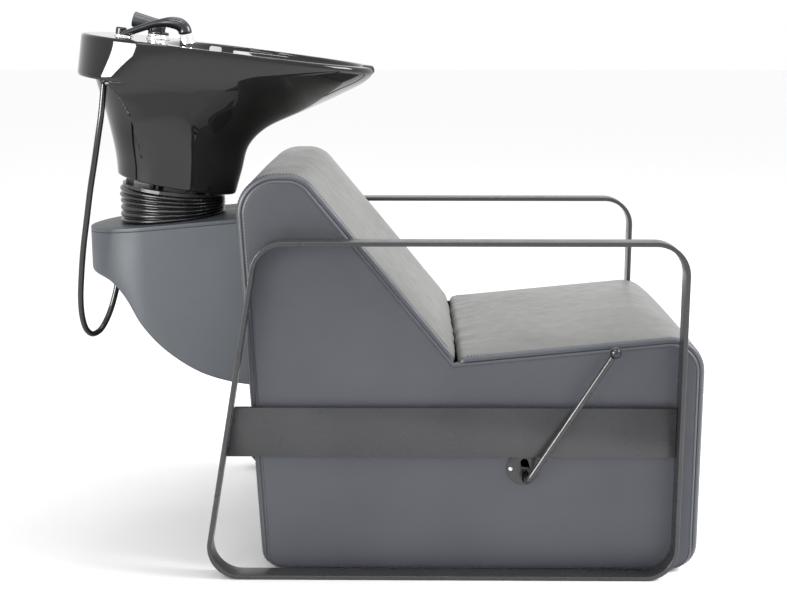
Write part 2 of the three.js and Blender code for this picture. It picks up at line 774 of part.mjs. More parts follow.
function seatBoard() {
  const top = CUSHION_DEPTH + GAP;
  const under = top + BOARD_THICK;
  const outline = [onSeat(150, top), onSeat(150, under), onSeat(515, under), onSeat(515, top)];
  const half = PANEL_INNER_Y - GAP;
  return sidePlate(rounded(outline), -half, half);
}

function backBoard() {
  const top = CUSHION_DEPTH + GAP;
  const under = top + BOARD_THICK;
  const outline = [onBack(395, top), onBack(640, top), onBack(640, under), onBack(395, under)];
  const half = PANEL_INNER_Y - GAP;
  return sidePlate(rounded(outline), -half, half);
}

const SIDE_RAIL_Y = 240;
const SIDE_RAIL_LOW = 294;
const SIDE_RAIL_HIGH = 326;

function mirroredBlock(side, x0, x1, y0, y1, z0, z1) {
  const [low, high] = [side * y0, side * y1].sort((a, b) => a - b);
  return block(x0, x1, low, high, z0, z1);
}

// Timber rail along the inside of each side panel.
function sideRail(side) {
  const end = PANEL_INNER_Y - GAP;
  return mirroredBlock(side, -200, 520, SIDE_RAIL_Y, end, SIDE_RAIL_LOW, SIDE_RAIL_HIGH);
}

function slideRunner(side) {
  const low = TUBE_HIGH + GAP + RAIL_WALL + 1.5;
  const high = RAIL_HIGH - RAIL_WALL - 1.5;
  return mirroredBlock(side, TUBE_REAR_X, TUBE_REAR_X + 380, RAIL_Y[0] + 5, SIDE_RAIL_Y - GAP, low, high);
}

// ---- release lever ------------------------------------------------------------------------------

const ESCUTCHEON_BACK_Y = -(PANEL_OUTER_Y + GAP);
const ESCUTCHEON_FACE_Y = ESCUTCHEON_BACK_Y - 2.5;
const SCREW_OFFSET = 23;

function leverEscutcheon() {
  const holes = [leverSlot(LEVER_RADIUS + 1.5)];
  for (const side of [-1, 1]) holes.push(circle(ESCUTCHEON_X + side * SCREW_OFFSET, ESCUTCHEON_Z, 2.6, 12));
  const disc = circle(ESCUTCHEON_X, ESCUTCHEON_Z, ESCUTCHEON_RADIUS, 40);
  return sidePlate(disc, ESCUTCHEON_FACE_Y, ESCUTCHEON_BACK_Y, holes);
}

// Domed screw through the escutcheon, ending just short of the side panel.
function escutcheonScrew(side) {
  const screw = turned([[0, 0], [2.2, 0], [2.2, 2.6], [4, 2.6], [3.2, 3.2], [0, 3.5]], 12);
  screw.rotateX(PI / 2);
  screw.translate(ESCUTCHEON_X + side * SCREW_OFFSET, ESCUTCHEON_BACK_Y, ESCUTCHEON_Z);
  return screw;
}

const CRANK_Y = -262;
const CRANK_THICK = 6;

// Bent rod: a foot through the slot, a tight elbow and a straight arm up to the knob.
function leverRod() {
  const arm = new THREE.Vector3(LEVER_KNOB_X - LEVER_FOOT_X, 0, LEVER_KNOB_Z - LEVER_FOOT_Z);
  const length = arm.length();
  arm.normalize();
  const bend = 12;
  const path = new THREE.CurvePath();
  const corner = new THREE.Vector3(LEVER_FOOT_X, LEVER_Y, LEVER_FOOT_Z);
  const before = corner.clone().setY(LEVER_Y + bend);
  const after = corner.clone().addScaledVector(arm, bend);
  path.add(new THREE.LineCurve3(corner.clone().setY(CRANK_Y - GAP), before));
  path.add(new THREE.QuadraticBezierCurve3(before, corner, after));
  path.add(new THREE.LineCurve3(after, corner.clone().addScaledVector(arm, length - KNOB_RADIUS)));
  const shape = new THREE.Shape(circle(0, 0, LEVER_RADIUS, 12));
  return new THREE.ExtrudeGeometry(shape, { steps: 28, extrudePath: path, bevelEnabled: false });
}

// Ball knob with a flat where the rod screws in.
function leverKnob() {
  const flat = Math.asin(0.96);
  const profile = [[0, -KNOB_RADIUS * sin(flat)]];
  for (let k = 0; k <= 12; k += 1) {
    const angle = -flat + ((PI / 2 + flat) * k) / 12;
    profile.push([k === 12 ? 0 : KNOB_RADIUS * cos(angle), KNOB_RADIUS * sin(angle)]);
  }
  const knob = turned(profile, 20);
  knob.rotateY(Math.atan2(LEVER_KNOB_X - LEVER_FOOT_X, LEVER_KNOB_Z - LEVER_FOOT_Z));
  knob.translate(LEVER_KNOB_X, LEVER_Y, LEVER_KNOB_Z);
  return knob;
}

const LEVER_PIN_RADIUS = 6;

// Crank plate from the rod's foot to the pivot.
function leverCrank() {
  const reach = hypot(LEVER_FOOT_X - LEVER_PIVOT_X, LEVER_FOOT_Z - LEVER_PIVOT_Z);
  const outline = rounded([[-14, -11, 10], [reach + 11, -9, 9], [reach + 11, 9, 9], [-14, 11, 10]]);
  const hole = circle(0, 0, LEVER_PIN_RADIUS + PIN_CLEARANCE);
  const crank = sidePlate(outline, CRANK_Y, CRANK_Y + CRANK_THICK, [hole]);
  crank.rotateY(Math.atan2(LEVER_PIVOT_Z - LEVER_FOOT_Z, LEVER_FOOT_X - LEVER_PIVOT_X));
  crank.translate(LEVER_PIVOT_X, 0, LEVER_PIVOT_Z);
  return crank;
}

// Bracket on the side panel's inner face with the pin that the crank turns on.
function leverBracket() {
  const face = -(PANEL_INNER_Y - GAP);
  const [x, z] = [LEVER_PIVOT_X, LEVER_PIVOT_Z];
  const plate = sidePlate(rectangle(x - 26, x + 26, z - 22, z + 22, 6), face, face + 4);
  const pin = sidePlate(circle(x, z, LEVER_PIN_RADIUS), face + 2, CRANK_Y + CRANK_THICK + 16);
  return joined(plate, pin);
}

// Torsion spring wound round the pin's inner end.
function leverSpring() {
  const turns = 4;
  const radius = 10;
  const points = [];
  for (let k = 0; k <= turns * 10; k += 1) {
    const angle = (2 * PI * k) / 10;
    const y = CRANK_Y + CRANK_THICK + 2.5 + (k / (turns * 10)) * 12;
    points.push([LEVER_PIVOT_X + radius * cos(angle), y, LEVER_PIVOT_Z + radius * sin(angle)]);
  }
  return tube(points, 1.2, 60, 6);
}

const SHOE_X = [195, 235];

function brakeShoe() {
  return block(SHOE_X[0], SHOE_X[1], BRAKE_Y[0], BRAKE_Y[1], BRAKE_BAR_LOW - 14, BRAKE_BAR_LOW - GAP);
}

// ---- basin --------------------------------------------------------------------------------------

const DECK_SQUARENESS = 2.9; // superellipse powers: 2 is an ellipse, higher is squarer
const BODY_SQUARENESS = 2.3;
const BOWL_SQUARENESS = 2.6;

// Level outline of the basin or bowl: a superellipse that is narrower in front. flare widens its
// rear half.
function basinRing(z, rear, front, halfWidth, taper, squareness, flare = 0, count = 40) {
  const power = 2 / squareness;
  return Array.from({ length: count }, (_, k) => {
    const angle = (2 * PI * (k + 0.5)) / count;
    const along = sign(cos(angle)) * abs(cos(angle)) ** power;
    const across = sign(sin(angle)) * abs(sin(angle)) ** power;
    const x = (rear + front) / 2 + ((front - rear) / 2) * along;
    const width = halfWidth + flare * THREE.MathUtils.smoothstep(-cos(angle), -0.1, 0.75);
    return new THREE.Vector3(x, width * across * (1 - taper * along), z);
  });
}

function profileCurve(points) {
  return new THREE.SplineCurve(points.map(([u, z]) => new THREE.Vector2(u, z)));
}

// x or half-width of a profile curve at a height, by bisection along the curve.
function atHeight(curve, z) {
  let [low, high] = [0, 1];
  for (let k = 0; k < 40; k += 1) {
    const middle = (low + high) / 2;
    if (curve.getPoint(middle).y < z) low = middle;
    else high = middle;
  }
  return curve.getPoint((low + high) / 2).x;
}

const underFront = profileCurve([
  [324, -300],
  [334, -236],
  [343, -185],
  [372, -147],
  [446, -101],
  [518, -58],
  [564, -27],
  [577, -10],
  [574, 0],
]);
const underRear = profileCurve([
  [98, -300],
  [88, -232],
  [71, -175],
  [52, -125],
  [39, -92],
  [34, -APRON_HEIGHT],
]);
const outerWidth = profileCurve([
  [106, -300],
  [113, -262],
  [127, -215],
  [150, -160],
  [185, -105],
  [215, -62],
  [232, -25],
  [236, 0],
]);
const bowlFront = profileCurve([
  [288, -BOWL_DEPTH],
  [310, -188],
  [345, -158],
  [400, -118],
  [470, -76],
  [528, -34],
  [548, -8],
  [556, 2],
]);
const bowlRear = profileCurve([
  [206, -BOWL_DEPTH],
  [199, -185],
  [192, -150],
  [184, -90],
  [178, -30],
  [DECK_DEPTH, 2],
]);
const bowlWidth = profileCurve([
  [66, -BOWL_DEPTH],
  [94, -186],
  [122, -158],
  [160, -105],
  [192, -55],
  [212, -14],
  [220, 2],
]);

const BODY_LEVELS = [-290, -262, -235, -205, -180, -155, -130, -105, -88, -APRON_HEIGHT - 3];
const APRON_LEVELS = [-APRON_HEIGHT, -60, -42, -25, -12, -4, 0];
const BOWL_LEVELS = [-BOWL_DEPTH, -192, -180, -160, -135, -108, -80, -52, -28, -10, 2];

function outerBasin(wall, top) {
  const ring = (z, rear, squareness, flare) => {
    const front = atHeight(underFront, z) - wall;
    return basinRing(z, rear + wall, front, atHeight(outerWidth, z) - wall, 0.14, squareness, flare);
  };
  const body = BODY_LEVELS.map((z) => ring(z, atHeight(underRear, z), BODY_SQUARENESS, 0));
  const deck = [...APRON_LEVELS.filter((z) => z < top), top];
  const apron = deck.map((z) => {
    const rear = z > -3 ? DECK_REAR + 2 : DECK_REAR;
    return ring(z, rear, DECK_SQUARENESS, APRON_HALF - atHeight(outerWidth, z));
  });
  return loft([...body, ...apron]);
}

function bowlSpace() {
  return loft(BOWL_LEVELS.map((z) => {
    const [rear, front] = [atHeight(bowlRear, z), atHeight(bowlFront, z)];
    return basinRing(z, rear, front, atHeight(bowlWidth, z), 0.2, BOWL_SQUARENESS);
  }));
}

const NECK_RADIUS = 78;
const NECK_DEPTH = 46;

// The rounded dip that holds the client's neck, and the bite out of the front edge below it.
function neckSpace() {
  const groove = rod(NECK_RADIUS, [0, 0, 0], 260, 32);
  groove.rotateZ(PI / 2);
  groove.rotateY(degrees(8));
  groove.translate(BASIN_LENGTH - 40, 0, NECK_RADIUS - NECK_DEPTH);
  const bite = turned([[0, -120], [72, -120], [84, 60], [0, 60]], 32);
  bite.translate(BASIN_LENGTH + 12, 0, 0);
  return [groove, bite];
}

// The hollow under the deck and bowl, open at the bottom, where the hoses and drain run.
function basinHollow() {
  const inner = solid(outerBasin(CERAMIC, -CERAMIC - 2));
  const behindBowl = solid(block(0, DECK_DEPTH - CERAMIC - 4, -400, 400, -400, 0));
  const underBowl = solid(block(0, 600, -400, 400, -400, -BOWL_DEPTH - CERAMIC));
  return inner.intersect(behindBowl.add(underBowl));
}

const DRAIN_RADIUS = 24;
const GUIDE_BORE = 13;
const GUIDE_RADIUS = 16;

function basinBody() {
  const sloped = block(-100, 700, -400, 400, -400, 0);
  sloped.rotateY(degrees(4.1));
  sloped.translate(92, 0, -262);
  const holes = [
    levelPlate(circle(DRAIN_X, 0, DRAIN_RADIUS), -260, -BOWL_DEPTH + 4),
    levelPlate(circle(SPRAY_X, SPRAY_Y, GUIDE_RADIUS + 1), -30, 10),
    levelPlate(circle(MIXER_X, MIXER_Y, 17), -30, 10),
  ];
  return cut(outerBasin(0, 0), bowlSpace(), ...neckSpace(), sloped, ...holes).subtract(basinHollow());
}

// Round plate under the basin with the two ears that hang on the tilt pin, four studs up to the
// bowl and a tab up inside the skirt's rear edge.
function tiltYokeUpper() {
  const [x, z] = inBasin(PIVOT_X, PIVOT_Z);
  const [centre] = inBasin(PIVOT_X, PIVOT_Z + 30);
  const drain = circle(DRAIN_X, 0, 23);
  const disc = circle(centre, 0, BELLOWS_RADIUS - 5, 32);
  const plate = levelPlate(disc, PLATE_LOW, PLATE_LOW + PLATE_THICK, [drain]);
  const hole = circle(x, z, PIN_RADIUS + PIN_CLEARANCE);
  const outline = rounded([
    [x - 15, z - 15, 14],
    [x + 15, z - 15, 14],
    [x + 17, PLATE_LOW + 2],
    [x - 17, PLATE_LOW + 2],
  ]);
  const ears = SIDES.map(([, side]) => {
    const [y0, y1] = [side * UPPER_EAR_Y, side * (UPPER_EAR_Y + YOKE_EAR)].sort((a, b) => a - b);
    return sidePlate(outline, y0, y1, [hole]);
  });
  const studPlaces = [-32, 54].flatMap((ahead) => [[centre + ahead, -46], [centre + ahead, 46]]);
  const studs = studPlaces.map(([sx, sy]) => (
    levelPlate(circle(sx, sy, 6, 12), PLATE_LOW + 2, -BOWL_DEPTH - CERAMIC - GAP)
  ));
  const rearX = centre - BELLOWS_RADIUS + 15;
  const tab = block(rearX, rearX + 6, -26, 26, PLATE_LOW + 2, SKIRT_LOW + 30);
  return joined(plate, ...ears, ...studs, tab);
}

// Chrome drain flange: a lipped sleeve in the bowl's floor.
function wasteFlange() {
  const z = -BOWL_DEPTH;
  const sleeve = [[20, z + 1.5], [20, z - 20], [23.4, z - 20], [23.4, z + GAP]];
  const profile = [...sleeve, [31, z + GAP], [31, z + 1.5], [24, z + 3]];
  const flange = turned([...profile, profile[0]]);
  flange.translate(DRAIN_X, 0, 0);
  return flange;
}

function wasteTailpiece() {
  const top = -BOWL_DEPTH - 20 - GAP;
  const low = inBasin(DRAIN_FOOT_X, 634)[1];
  const outside = [[14, low], [17.5, low], [17.5, top - 14], [22, top - 14], [22, top]];
  const tail = turned([...outside, [14, top], [14, low]], 24);
  tail.translate(DRAIN_X, 0, 0);
  return tail;
}

// Perforated hair strainer that lifts out of the drain.
function strainer() {
  const z = -BOWL_DEPTH;
  const outside = [[0, z - 12], [14, z - 12], [17, z + 3.3], [23, z + 3.3], [23, z + 5]];
  const cup = turned([...outside, [15, z + 5], [12, z - 10], [0, z - 10]]);
  cup.translate(DRAIN_X, 0, 0);
  const bores = [];
  for (let k = 0; k < 6; k += 1) {
    const angle = (2 * PI * k) / 6;
    bores.push(levelPlate(circle(DRAIN_X + 7.5 * cos(angle), 7.5 * sin(angle), 2, 8), z - 15, z - 5));
  }
  return cut(cup, ...bores);
}

// ---- taps ---------------------------------------------------------------------------------------

function mixerBody() {
  const shank = [[0, -60], [12, -60], [12, -20], [16, -20], [16, GAP]];
  const body = turned([...shank, [24, GAP], [24, 4], [22, 9], [0, 9]], 24);
  body.translate(MIXER_X, MIXER_Y, 0);
  return body;
}

const SWIVEL_LOW = 9 + GAP;

// Turning head of the mixer: a disc with two cheeks that hold the lever between them.
function mixerSwivel() {
  const disc = levelPlate(circle(0, 0, 21, 24), SWIVEL_LOW, SWIVEL_LOW + 1.5);
  const cheeks = SIDES.map(([, side]) => {
    const [y0, y1] = [side * 14.6, side * 19].sort((a, b) => a - b);
    const outline = rounded([
      [-9, SWIVEL_LOW + 0.5],
      [9, SWIVEL_LOW + 0.5],
      [9, MIXER_PIVOT_Z + 9, 8.5],
      [-9, MIXER_PIVOT_Z + 9, 8.5],
    ]);
    return sidePlate(outline, y0, y1);
  });
  return joined(disc, ...cheeks).translate([MIXER_X, MIXER_Y, 0]);
}

const MIXER_LEVER_RISE = degrees(9);

// Stout round lever that points back and slightly up, with a ball end on the pivot.
function mixerLever() {
  const radius = 13.8;
  const profile = [];
  for (let k = 0; k <= 8; k += 1) {
    const angle = -PI / 2 + (PI * k) / 16;
    profile.push([k === 0 ? 0 : radius * cos(angle), radius * sin(angle)]);
  }
  profile.push([14.6, 40], [15.5, 50], [14.5, 52], [0, 51]);
  const lever = turned(profile, 24);
  lever.rotateY(-PI / 2 + MIXER_LEVER_RISE);
  lever.translate(MIXER_X, MIXER_Y, MIXER_PIVOT_Z);
  return lever;
}

// Chrome guide in the deck, which the spray's foot drops into.
function sprayGuide() {
  const sleeve = [[GUIDE_BORE, -30], [GUIDE_RADIUS, -30], [GUIDE_RADIUS, GAP], [20, GAP]];
  const guide = turned([...sleeve, [20, 1.5], [18, 2.5], [GUIDE_BORE, 2.5], [GUIDE_BORE, -30]], 24);
  guide.translate(SPRAY_X, SPRAY_Y, 0);
  return guide;
}

const SPRAY_END = [205, 18];
const SPRAY_TURN = degrees(-18);

// Hand spray: a slim arched neck that swells into the head.
function sprayBody() {
  const path = new THREE.CatmullRomCurve3([
    [84, -24],
    [84.5, -7],
    [88, 3],
    [98, 9],
    [121, 20],
    [141, 29],
    [159, 34.5],
    [176, 37],
    [193, 35],
    [202, 27.5],
    SPRAY_END,
  ].map(([x, z]) => new THREE.Vector3(x, SPRAY_Y, z)));
  const steps = 24;
  const rings = [];
  for (let k = 0; k <= steps; k += 1) {
    const t = k / steps;
    const radius = 5.8 + 2.2 * t + 5 * THREE.MathUtils.smoothstep(t, 0.5, 0.82);
    const centre = path.getPointAt(t);
    const tangent = path.getTangentAt(t);
    const up = new THREE.Vector3(-tangent.z, 0, tangent.x);
    rings.push(Array.from({ length: 14 }, (_, i) => {
      const angle = (2 * PI * i) / 14;
      const side = new THREE.Vector3(0, radius * sin(angle), 0);
      return centre.clone().addScaledVector(up, radius * cos(angle)).add(side);
    }));
  }
  return loft(rings);
}

function sprayNozzle() {
  const nozzle = turned([[0, -1], [12.2, -1], [13, -5], [15.2, -19], [13.8, -21], [0, -21]], 24);
  nozzle.rotateY(SPRAY_TURN);
  nozzle.translate(SPRAY_END[0], SPRAY_Y, SPRAY_END[1]);
  return nozzle;
}

// Black cap over the deck's spare tap hole.
function holeCover() {
  const cover = turned([[0, GAP], [11, GAP], [11, 11.5], [9, 14], [0, 14]]);
  cover.translate(HOLE_COVER_X, HOLE_COVER_Y, 0);
  return cover;
}

const HOSE_EXIT = { x: 83, y: -167, z: -84.5 };

// Grommet under the deck's rear ledge, where the spray hose comes out.
function hoseOutlet() {
  const outlet = turned([[0, 0], [7, 0], [8.5, 1.5], [8.5, 3.7], [0, 3.7]], 16);
  outlet.translate(HOSE_EXIT.x, HOSE_EXIT.y, HOSE_EXIT.z);
  return outlet;
}

// Spray hose: out of the deck's underside, down in a loop and up into the housing.
function sprayHose() {
  const [x, z] = [HOSE_EXIT.x, HOSE_EXIT.z - 2 * GAP];
  const startX = BASIN_REAR_X + x * cos(BASIN_LEAN) + z * sin(BASIN_LEAN);
  const startZ = BASIN_REAR_Z - x * sin(BASIN_LEAN) + z * cos(BASIN_LEAN);
  const route = [
    [startX, HOSE_EXIT.y, startZ],
    [-515.5, -167, 876],
    [-520, -167, 844],
    [-529, -163, 800],
    [-539, -157, 753],
    [-550, -150, 704],
    [-561, -142, 648],
    [-573, -132, 587],
    [-582, -121, 530],
    [-588, -110, 482],
    [-589, -98, 443],
    [-585, -84, 416],
    [-577, -70, 405],
    [-566, -56, 409],
    [-556, -43, 425],
    [-547, -33, 448],
    [-540, -26, 473],
    [-536, -21, 492],
    [GLAND.x, GLAND.y, GLAND.low - 2 * GAP],
  ];
  return tube(route, HOSE_RADIUS, 44, 10);
}

// ---- the unit -----------------------------------------------------------------------------------

for (const [name, side] of SIDES) {
  place(unit, `arm_loop_${name}`, armLoop(side), blackSteel);
  place(unit, `side_band_${name}`, sideBand(side), blackSteel);
  place(unit, `slide_rail_${name}`, slideRail(side), zincSteel);
  place(unit, `supply_valve_${name}`, supplyValve(side), chrome);
  place(unit, `side_panel_${name}`, sidePanel(side), leatherSide);
  place(unit, `side_rail_${name}`, sideRail(side), plywood);
  place(unit, `slide_runner_${name}`, slideRunner(side), zincSteel);
}
place(unit, 'cross_tube_front', crossTube(TUBE_FRONT_X), blackSteel);
place(unit, 'cross_tube_rear', crossTube(TUBE_REAR_X), blackSteel);
place(unit, 'spine_frame', spineFrame(), blackSteel);
place(unit, 'brake_bar', brakeBar(), zincSteel);
place(unit, 'pedestal_frame', pedestalFrame(), blackSteel);
place(unit, 'pod_mount_plate', podMountPlate(), blackSteel);
place(unit, 'pod_shell', podShell(), housingPaint);
place(unit, 'pod_lid', podLid(), housingPaint);
place(unit, 'hose_gland', hoseGland(), blackRubber);
place(unit, 'tilt_yoke_lower', tiltYokeLower(), blackSteel);
place(unit, 'tilt_pin', tiltPin(), zincSteel);
place(unit, 'bellows', bellows(), blackRubber);
place(unit, 'waste_trap', wasteTrap(), greyPlastic);
place(unit, 'waste_hose', wasteHose(), blackRubber);
place(unit, 'waste_pipe', wastePipe(), greyPlastic);
place(unit, 'spray_hose', sprayHose(), blackRubber);

place(unit, 'seat_cushion', seatCushion(), leatherTop);
place(unit, 'backrest_cushion', backrestCushion(), leatherTop);
place(unit, 'front_panel', frontPanel(), leatherSide);
place(unit, 'rear_panel', rearPanel(), leatherSide);
place(unit, 'seat_board', seatBoard(), plywood);
place(unit, 'back_board', backBoard(), plywood);
place(unit, 'lever_bracket', leverBracket(), zincSteel);
place(unit, 'lever_spring', leverSpring(), zincSteel);
place(unit, 'lever_escutcheon', leverEscutcheon(), blackSteel);
place(unit, 'escutcheon_screw_rear', escutcheonScrew(-1), zincSteel);
place(unit, 'escutcheon_screw_front', escutcheonScrew(1), zincSteel);
place(unit, 'lever_rod', leverRod(), blackSteel);
place(unit, 'lever_knob', leverKnob(), blackPlastic);
place(unit, 'lever_crank', leverCrank(), zincSteel);
place(unit, 'brake_shoe', brakeShoe(), blackRubber);

place(basinGroup, 'basin', basinBody(), blackCeramic);
place(basinGroup, 'tilt_yoke_upper', tiltYokeUpper(), blackSteel);
place(basinGroup, 'waste_flange', wasteFlange(), chrome);
place(basinGroup, 'waste_tailpiece', wasteTailpiece(), greyPlastic);
place(basinGroup, 'strainer', strainer(), chrome);
place(basinGroup, 'mixer_body', mixerBody(), chrome);
place(basinGroup, 'mixer_swivel', mixerSwivel(), blackPlastic);
place(basinGroup, 'mixer_lever', mixerLever(), blackPlastic);
place(basinGroup, 'hose_outlet', hoseOutlet(), blackRubber);
place(basinGroup, 'spray_guide', sprayGuide(), chrome);
place(basinGroup, 'spray_body', sprayBody(), blackPlastic);
place(basinGroup, 'spray_nozzle', sprayNozzle(), chrome);
place(basinGroup, 'hole_cover', holeCover(), blackPlastic);

export default unit;
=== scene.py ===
"""Looks of the shampoo backwash unit.

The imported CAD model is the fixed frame. Hidden steelwork keeps its CAD meshes and gets materials.
What shows is modelled here: the upholstered covers, the ceramic basin, the flat-bar loops, the
housing, the bellows, the taps, the release lever and the spray hose.

Units are metres, +Z is up and +X is the way the client faces. The client's right is -Y.
"""

import json
from math import acos, atan2, ceil, copysign, cos, exp, pi, radians, sin, sqrt, tan

import bmesh
import bpy
from mathutils import Matrix, Vector, noise


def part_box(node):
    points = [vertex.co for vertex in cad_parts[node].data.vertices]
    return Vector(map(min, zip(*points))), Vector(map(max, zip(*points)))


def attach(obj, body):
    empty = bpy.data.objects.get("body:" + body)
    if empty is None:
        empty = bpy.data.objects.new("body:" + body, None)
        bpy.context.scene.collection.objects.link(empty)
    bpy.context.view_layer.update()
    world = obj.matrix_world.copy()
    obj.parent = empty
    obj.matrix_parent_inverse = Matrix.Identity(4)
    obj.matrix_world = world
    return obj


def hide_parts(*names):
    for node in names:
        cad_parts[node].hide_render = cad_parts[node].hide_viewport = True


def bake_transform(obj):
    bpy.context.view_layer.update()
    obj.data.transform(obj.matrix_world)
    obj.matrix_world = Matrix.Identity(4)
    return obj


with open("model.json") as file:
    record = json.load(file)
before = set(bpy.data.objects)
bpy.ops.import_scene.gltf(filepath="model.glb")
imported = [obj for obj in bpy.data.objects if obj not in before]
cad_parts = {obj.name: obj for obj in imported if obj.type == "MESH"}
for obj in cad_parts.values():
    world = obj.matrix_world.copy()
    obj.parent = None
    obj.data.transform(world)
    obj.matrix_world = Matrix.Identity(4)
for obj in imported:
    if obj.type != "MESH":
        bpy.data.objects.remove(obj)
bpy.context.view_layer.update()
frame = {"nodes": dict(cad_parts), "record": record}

MM = 0.001

# ---- camera --------------------------------------------------------------------------------------

CAMERA_PLACE = (0.050, -2.686, 1.004)
CAMERA_LOOK = (-0.0105, 0.9801, -0.1982)
CAMERA_LENS = 61.75


def make_camera():
    data = bpy.data.cameras.new("camera")
    data.lens = CAMERA_LENS
    data.sensor_width = 36
    camera = bpy.data.objects.new("camera", data)
    bpy.context.scene.collection.objects.link(camera)
    camera.location = CAMERA_PLACE
    camera.rotation_mode = "QUATERNION"
    camera.rotation_quaternion = Vector(CAMERA_LOOK).to_track_quat("-Z", "Y")
    bpy.context.scene.camera = camera


make_camera()

# ---- curves and outlines -------------------------------------------------------------------------


def smoothstep(low, high, value):
    t = min(max((value - low) / (high - low), 0), 1)
    return t * t * (3 - 2 * t)


def lerp(a, b, t):
    return a + (b - a) * t


def through(points, per_span=8):
    """A smooth line through given points: a centripetal Catmull-Rom curve."""
    points = [Vector(p) for p in points]
    ends = [2 * points[0] - points[1], *points, 2 * points[-1] - points[-2]]
    line = []
    for p0, p1, p2, p3 in zip(ends, ends[1:], ends[2:], ends[3:]):
        t1 = (p1 - p0).length ** 0.5
        t2 = t1 + (p2 - p1).length ** 0.5
        t3 = t2 + (p3 - p2).length ** 0.5
        for k in range(per_span):
            t = lerp(t1, t2, k / per_span)
            a1 = p0.lerp(p1, t / t1)
            a2 = p1.lerp(p2, (t - t1) / (t2 - t1))
            a3 = p2.lerp(p3, (t - t2) / (t3 - t2))
            b1 = a1.lerp(a2, t / t2)
            b2 = a2.lerp(a3, (t - t1) / (t3 - t1))
            line.append(b1.lerp(b2, (t - t1) / (t2 - t1)))
    return [*line, points[-1]]


def value_at(line, z):
    """First coordinate of a line of (value, z) points at a height."""
    for (u1, z1), (u2, z2) in zip(line, line[1:]):
        if (z1 - z) * (z2 - z) <= 0 and z1 != z2:
            return lerp(u1, u2, (z - z1) / (z2 - z1))
    return line[0][0] if abs(z - line[0][1]) < abs(z - line[-1][1]) else line[-1][0]


def fillet(before, corner, after, radius, step):
    """Arc points that round one corner of an outline."""
    here = Vector(corner)
    back = (Vector(before) - here).normalized()
    ahead = (Vector(after) - here).normalized()
    half = acos(max(-1, min(1, back.dot(ahead)))) / 2
    centre = here + (back + ahead).normalized() * (radius / sin(half))
    first = here + back * (radius / tan(half)) - centre
    turn = (pi - 2 * half) * (-1 if back.x * ahead.y - back.y * ahead.x > 0 else 1)
    start = atan2(first.y, first.x)
    steps = max(2, ceil(abs(turn) / step))
    angles = [start + turn * k / steps for k in range(steps + 1)]
    return [centre + Vector((cos(a), sin(a))) * radius for a in angles]


def rounded(corners, step=radians(5)):
    """Closed outline from corners (u, v, radius)."""
    points = []
    for i, (u, v, radius) in enumerate(corners):
        if radius == 0:
            points.append(Vector((u, v)))
            continue
        after = corners[(i + 1) % len(corners)]
        points += fillet(corners[i - 1][:2], (u, v), after[:2], radius, step)
    return points


def inset(corners, distance):
    """Moves a counterclockwise outline's sides inward, with its corner radii to suit."""
    moved = []
    for i, (u, v, radius) in enumerate(corners):
        after = corners[(i + 1) % len(corners)]
        come = (Vector((u, v)) - Vector(corners[i - 1][:2])).normalized()
        go = (Vector(after[:2]) - Vector((u, v))).normalized()
        reach = distance / (1 + come.dot(go))
        turn = come.x * go.y - come.y * go.x
        size = 0 if radius == 0 else max(radius - copysign(distance, turn), MM)
        moved.append((u - (come.y + go.y) * reach, v + (come.x + go.x) * reach, size))
    return moved


def open_path(corners, spacing, step=radians(5)):
    """Evenly spaced points, with outward normals, along an open line of corners (u, v, radius)."""
    points = [Vector(corners[0][:2])]
    for before, (u, v, radius), after in zip(corners, corners[1:], corners[2:]):
        points += fillet(before[:2], (u, v), after[:2], radius, step) if radius else [Vector((u, v))]
    points.append(Vector(corners[-1][:2]))
    lengths = [0]
    for a, b in zip(points, points[1:]):
        lengths.append(lengths[-1] + (b - a).length)
    count = ceil(lengths[-1] / spacing)
    even = []
    span = 0
    for k in range(count + 1):
        target = lengths[-1] * k / count
        while span < len(lengths) - 2 and lengths[span + 1] < target:
            span += 1
        t = (target - lengths[span]) / max(lengths[span + 1] - lengths[span], 1e-9)
        even.append(points[span].lerp(points[span + 1], min(t, 1)))
    normals = []
    for i in range(len(even)):
        along = even[min(i + 1, count)] - even[max(i - 1, 0)]
        normals.append(Vector((-along.y, along.x)).normalized())
    return even, normals


def whole_turn(count):
    """Even angles round a full circle."""
    return [2 * pi * k / count for k in range(count)]


def circle(u, v, radius, sides=32):
    return [Vector((u + radius * cos(a), v + radius * sin(a))) for a in whole_turn(sides)]


# ---- mesh helpers --------------------------------------------------------------------------------


def new_object(name, verts, faces, smooth=True):
    mesh = bpy.data.meshes.new(name)
    mesh.from_pydata([tuple(v) for v in verts], [], faces)
    tool = bmesh.new()
    tool.from_mesh(mesh)
    bmesh.ops.remove_doubles(tool, verts=tool.verts, dist=1e-6)
    bmesh.ops.recalc_face_normals(tool, faces=tool.faces)
    tool.to_mesh(mesh)
    tool.free()
    mesh.polygons.foreach_set("use_smooth", [smooth] * len(mesh.polygons))
    obj = bpy.data.objects.new(name, mesh)
    bpy.context.scene.collection.objects.link(obj)
    return obj


def loft(rings, around=True, along=False, caps=True):
    """Faces between rings of equal count.

    around closes each ring, and along joins the last ring to the first.
    """
    count = len(rings[0])
    verts = [v for ring in rings for v in ring]
    faces = []
    for i in range(len(rings) if along else len(rings) - 1):
        j = (i + 1) % len(rings)
        for k in range(count if around else count - 1):
            m = (k + 1) % count
            faces.append((i * count + k, i * count + m, j * count + m, j * count + k))
    if caps and around and not along:
        last = (len(rings) - 1) * count
        faces.append(tuple(reversed(range(count))))
        faces.append(tuple(range(last, last + count)))
    return verts, faces


def lathe(profile, sides=48):
    """Solid turned about local Z from (radius, height) points, closed on itself if off the axis."""
    rings = []
    for radius, height in profile:
        rings.append([(radius * cos(a), radius * sin(a), height) for a in whole_turn(sides)])
    return loft(rings, along=profile[0][0] > 0, caps=False)


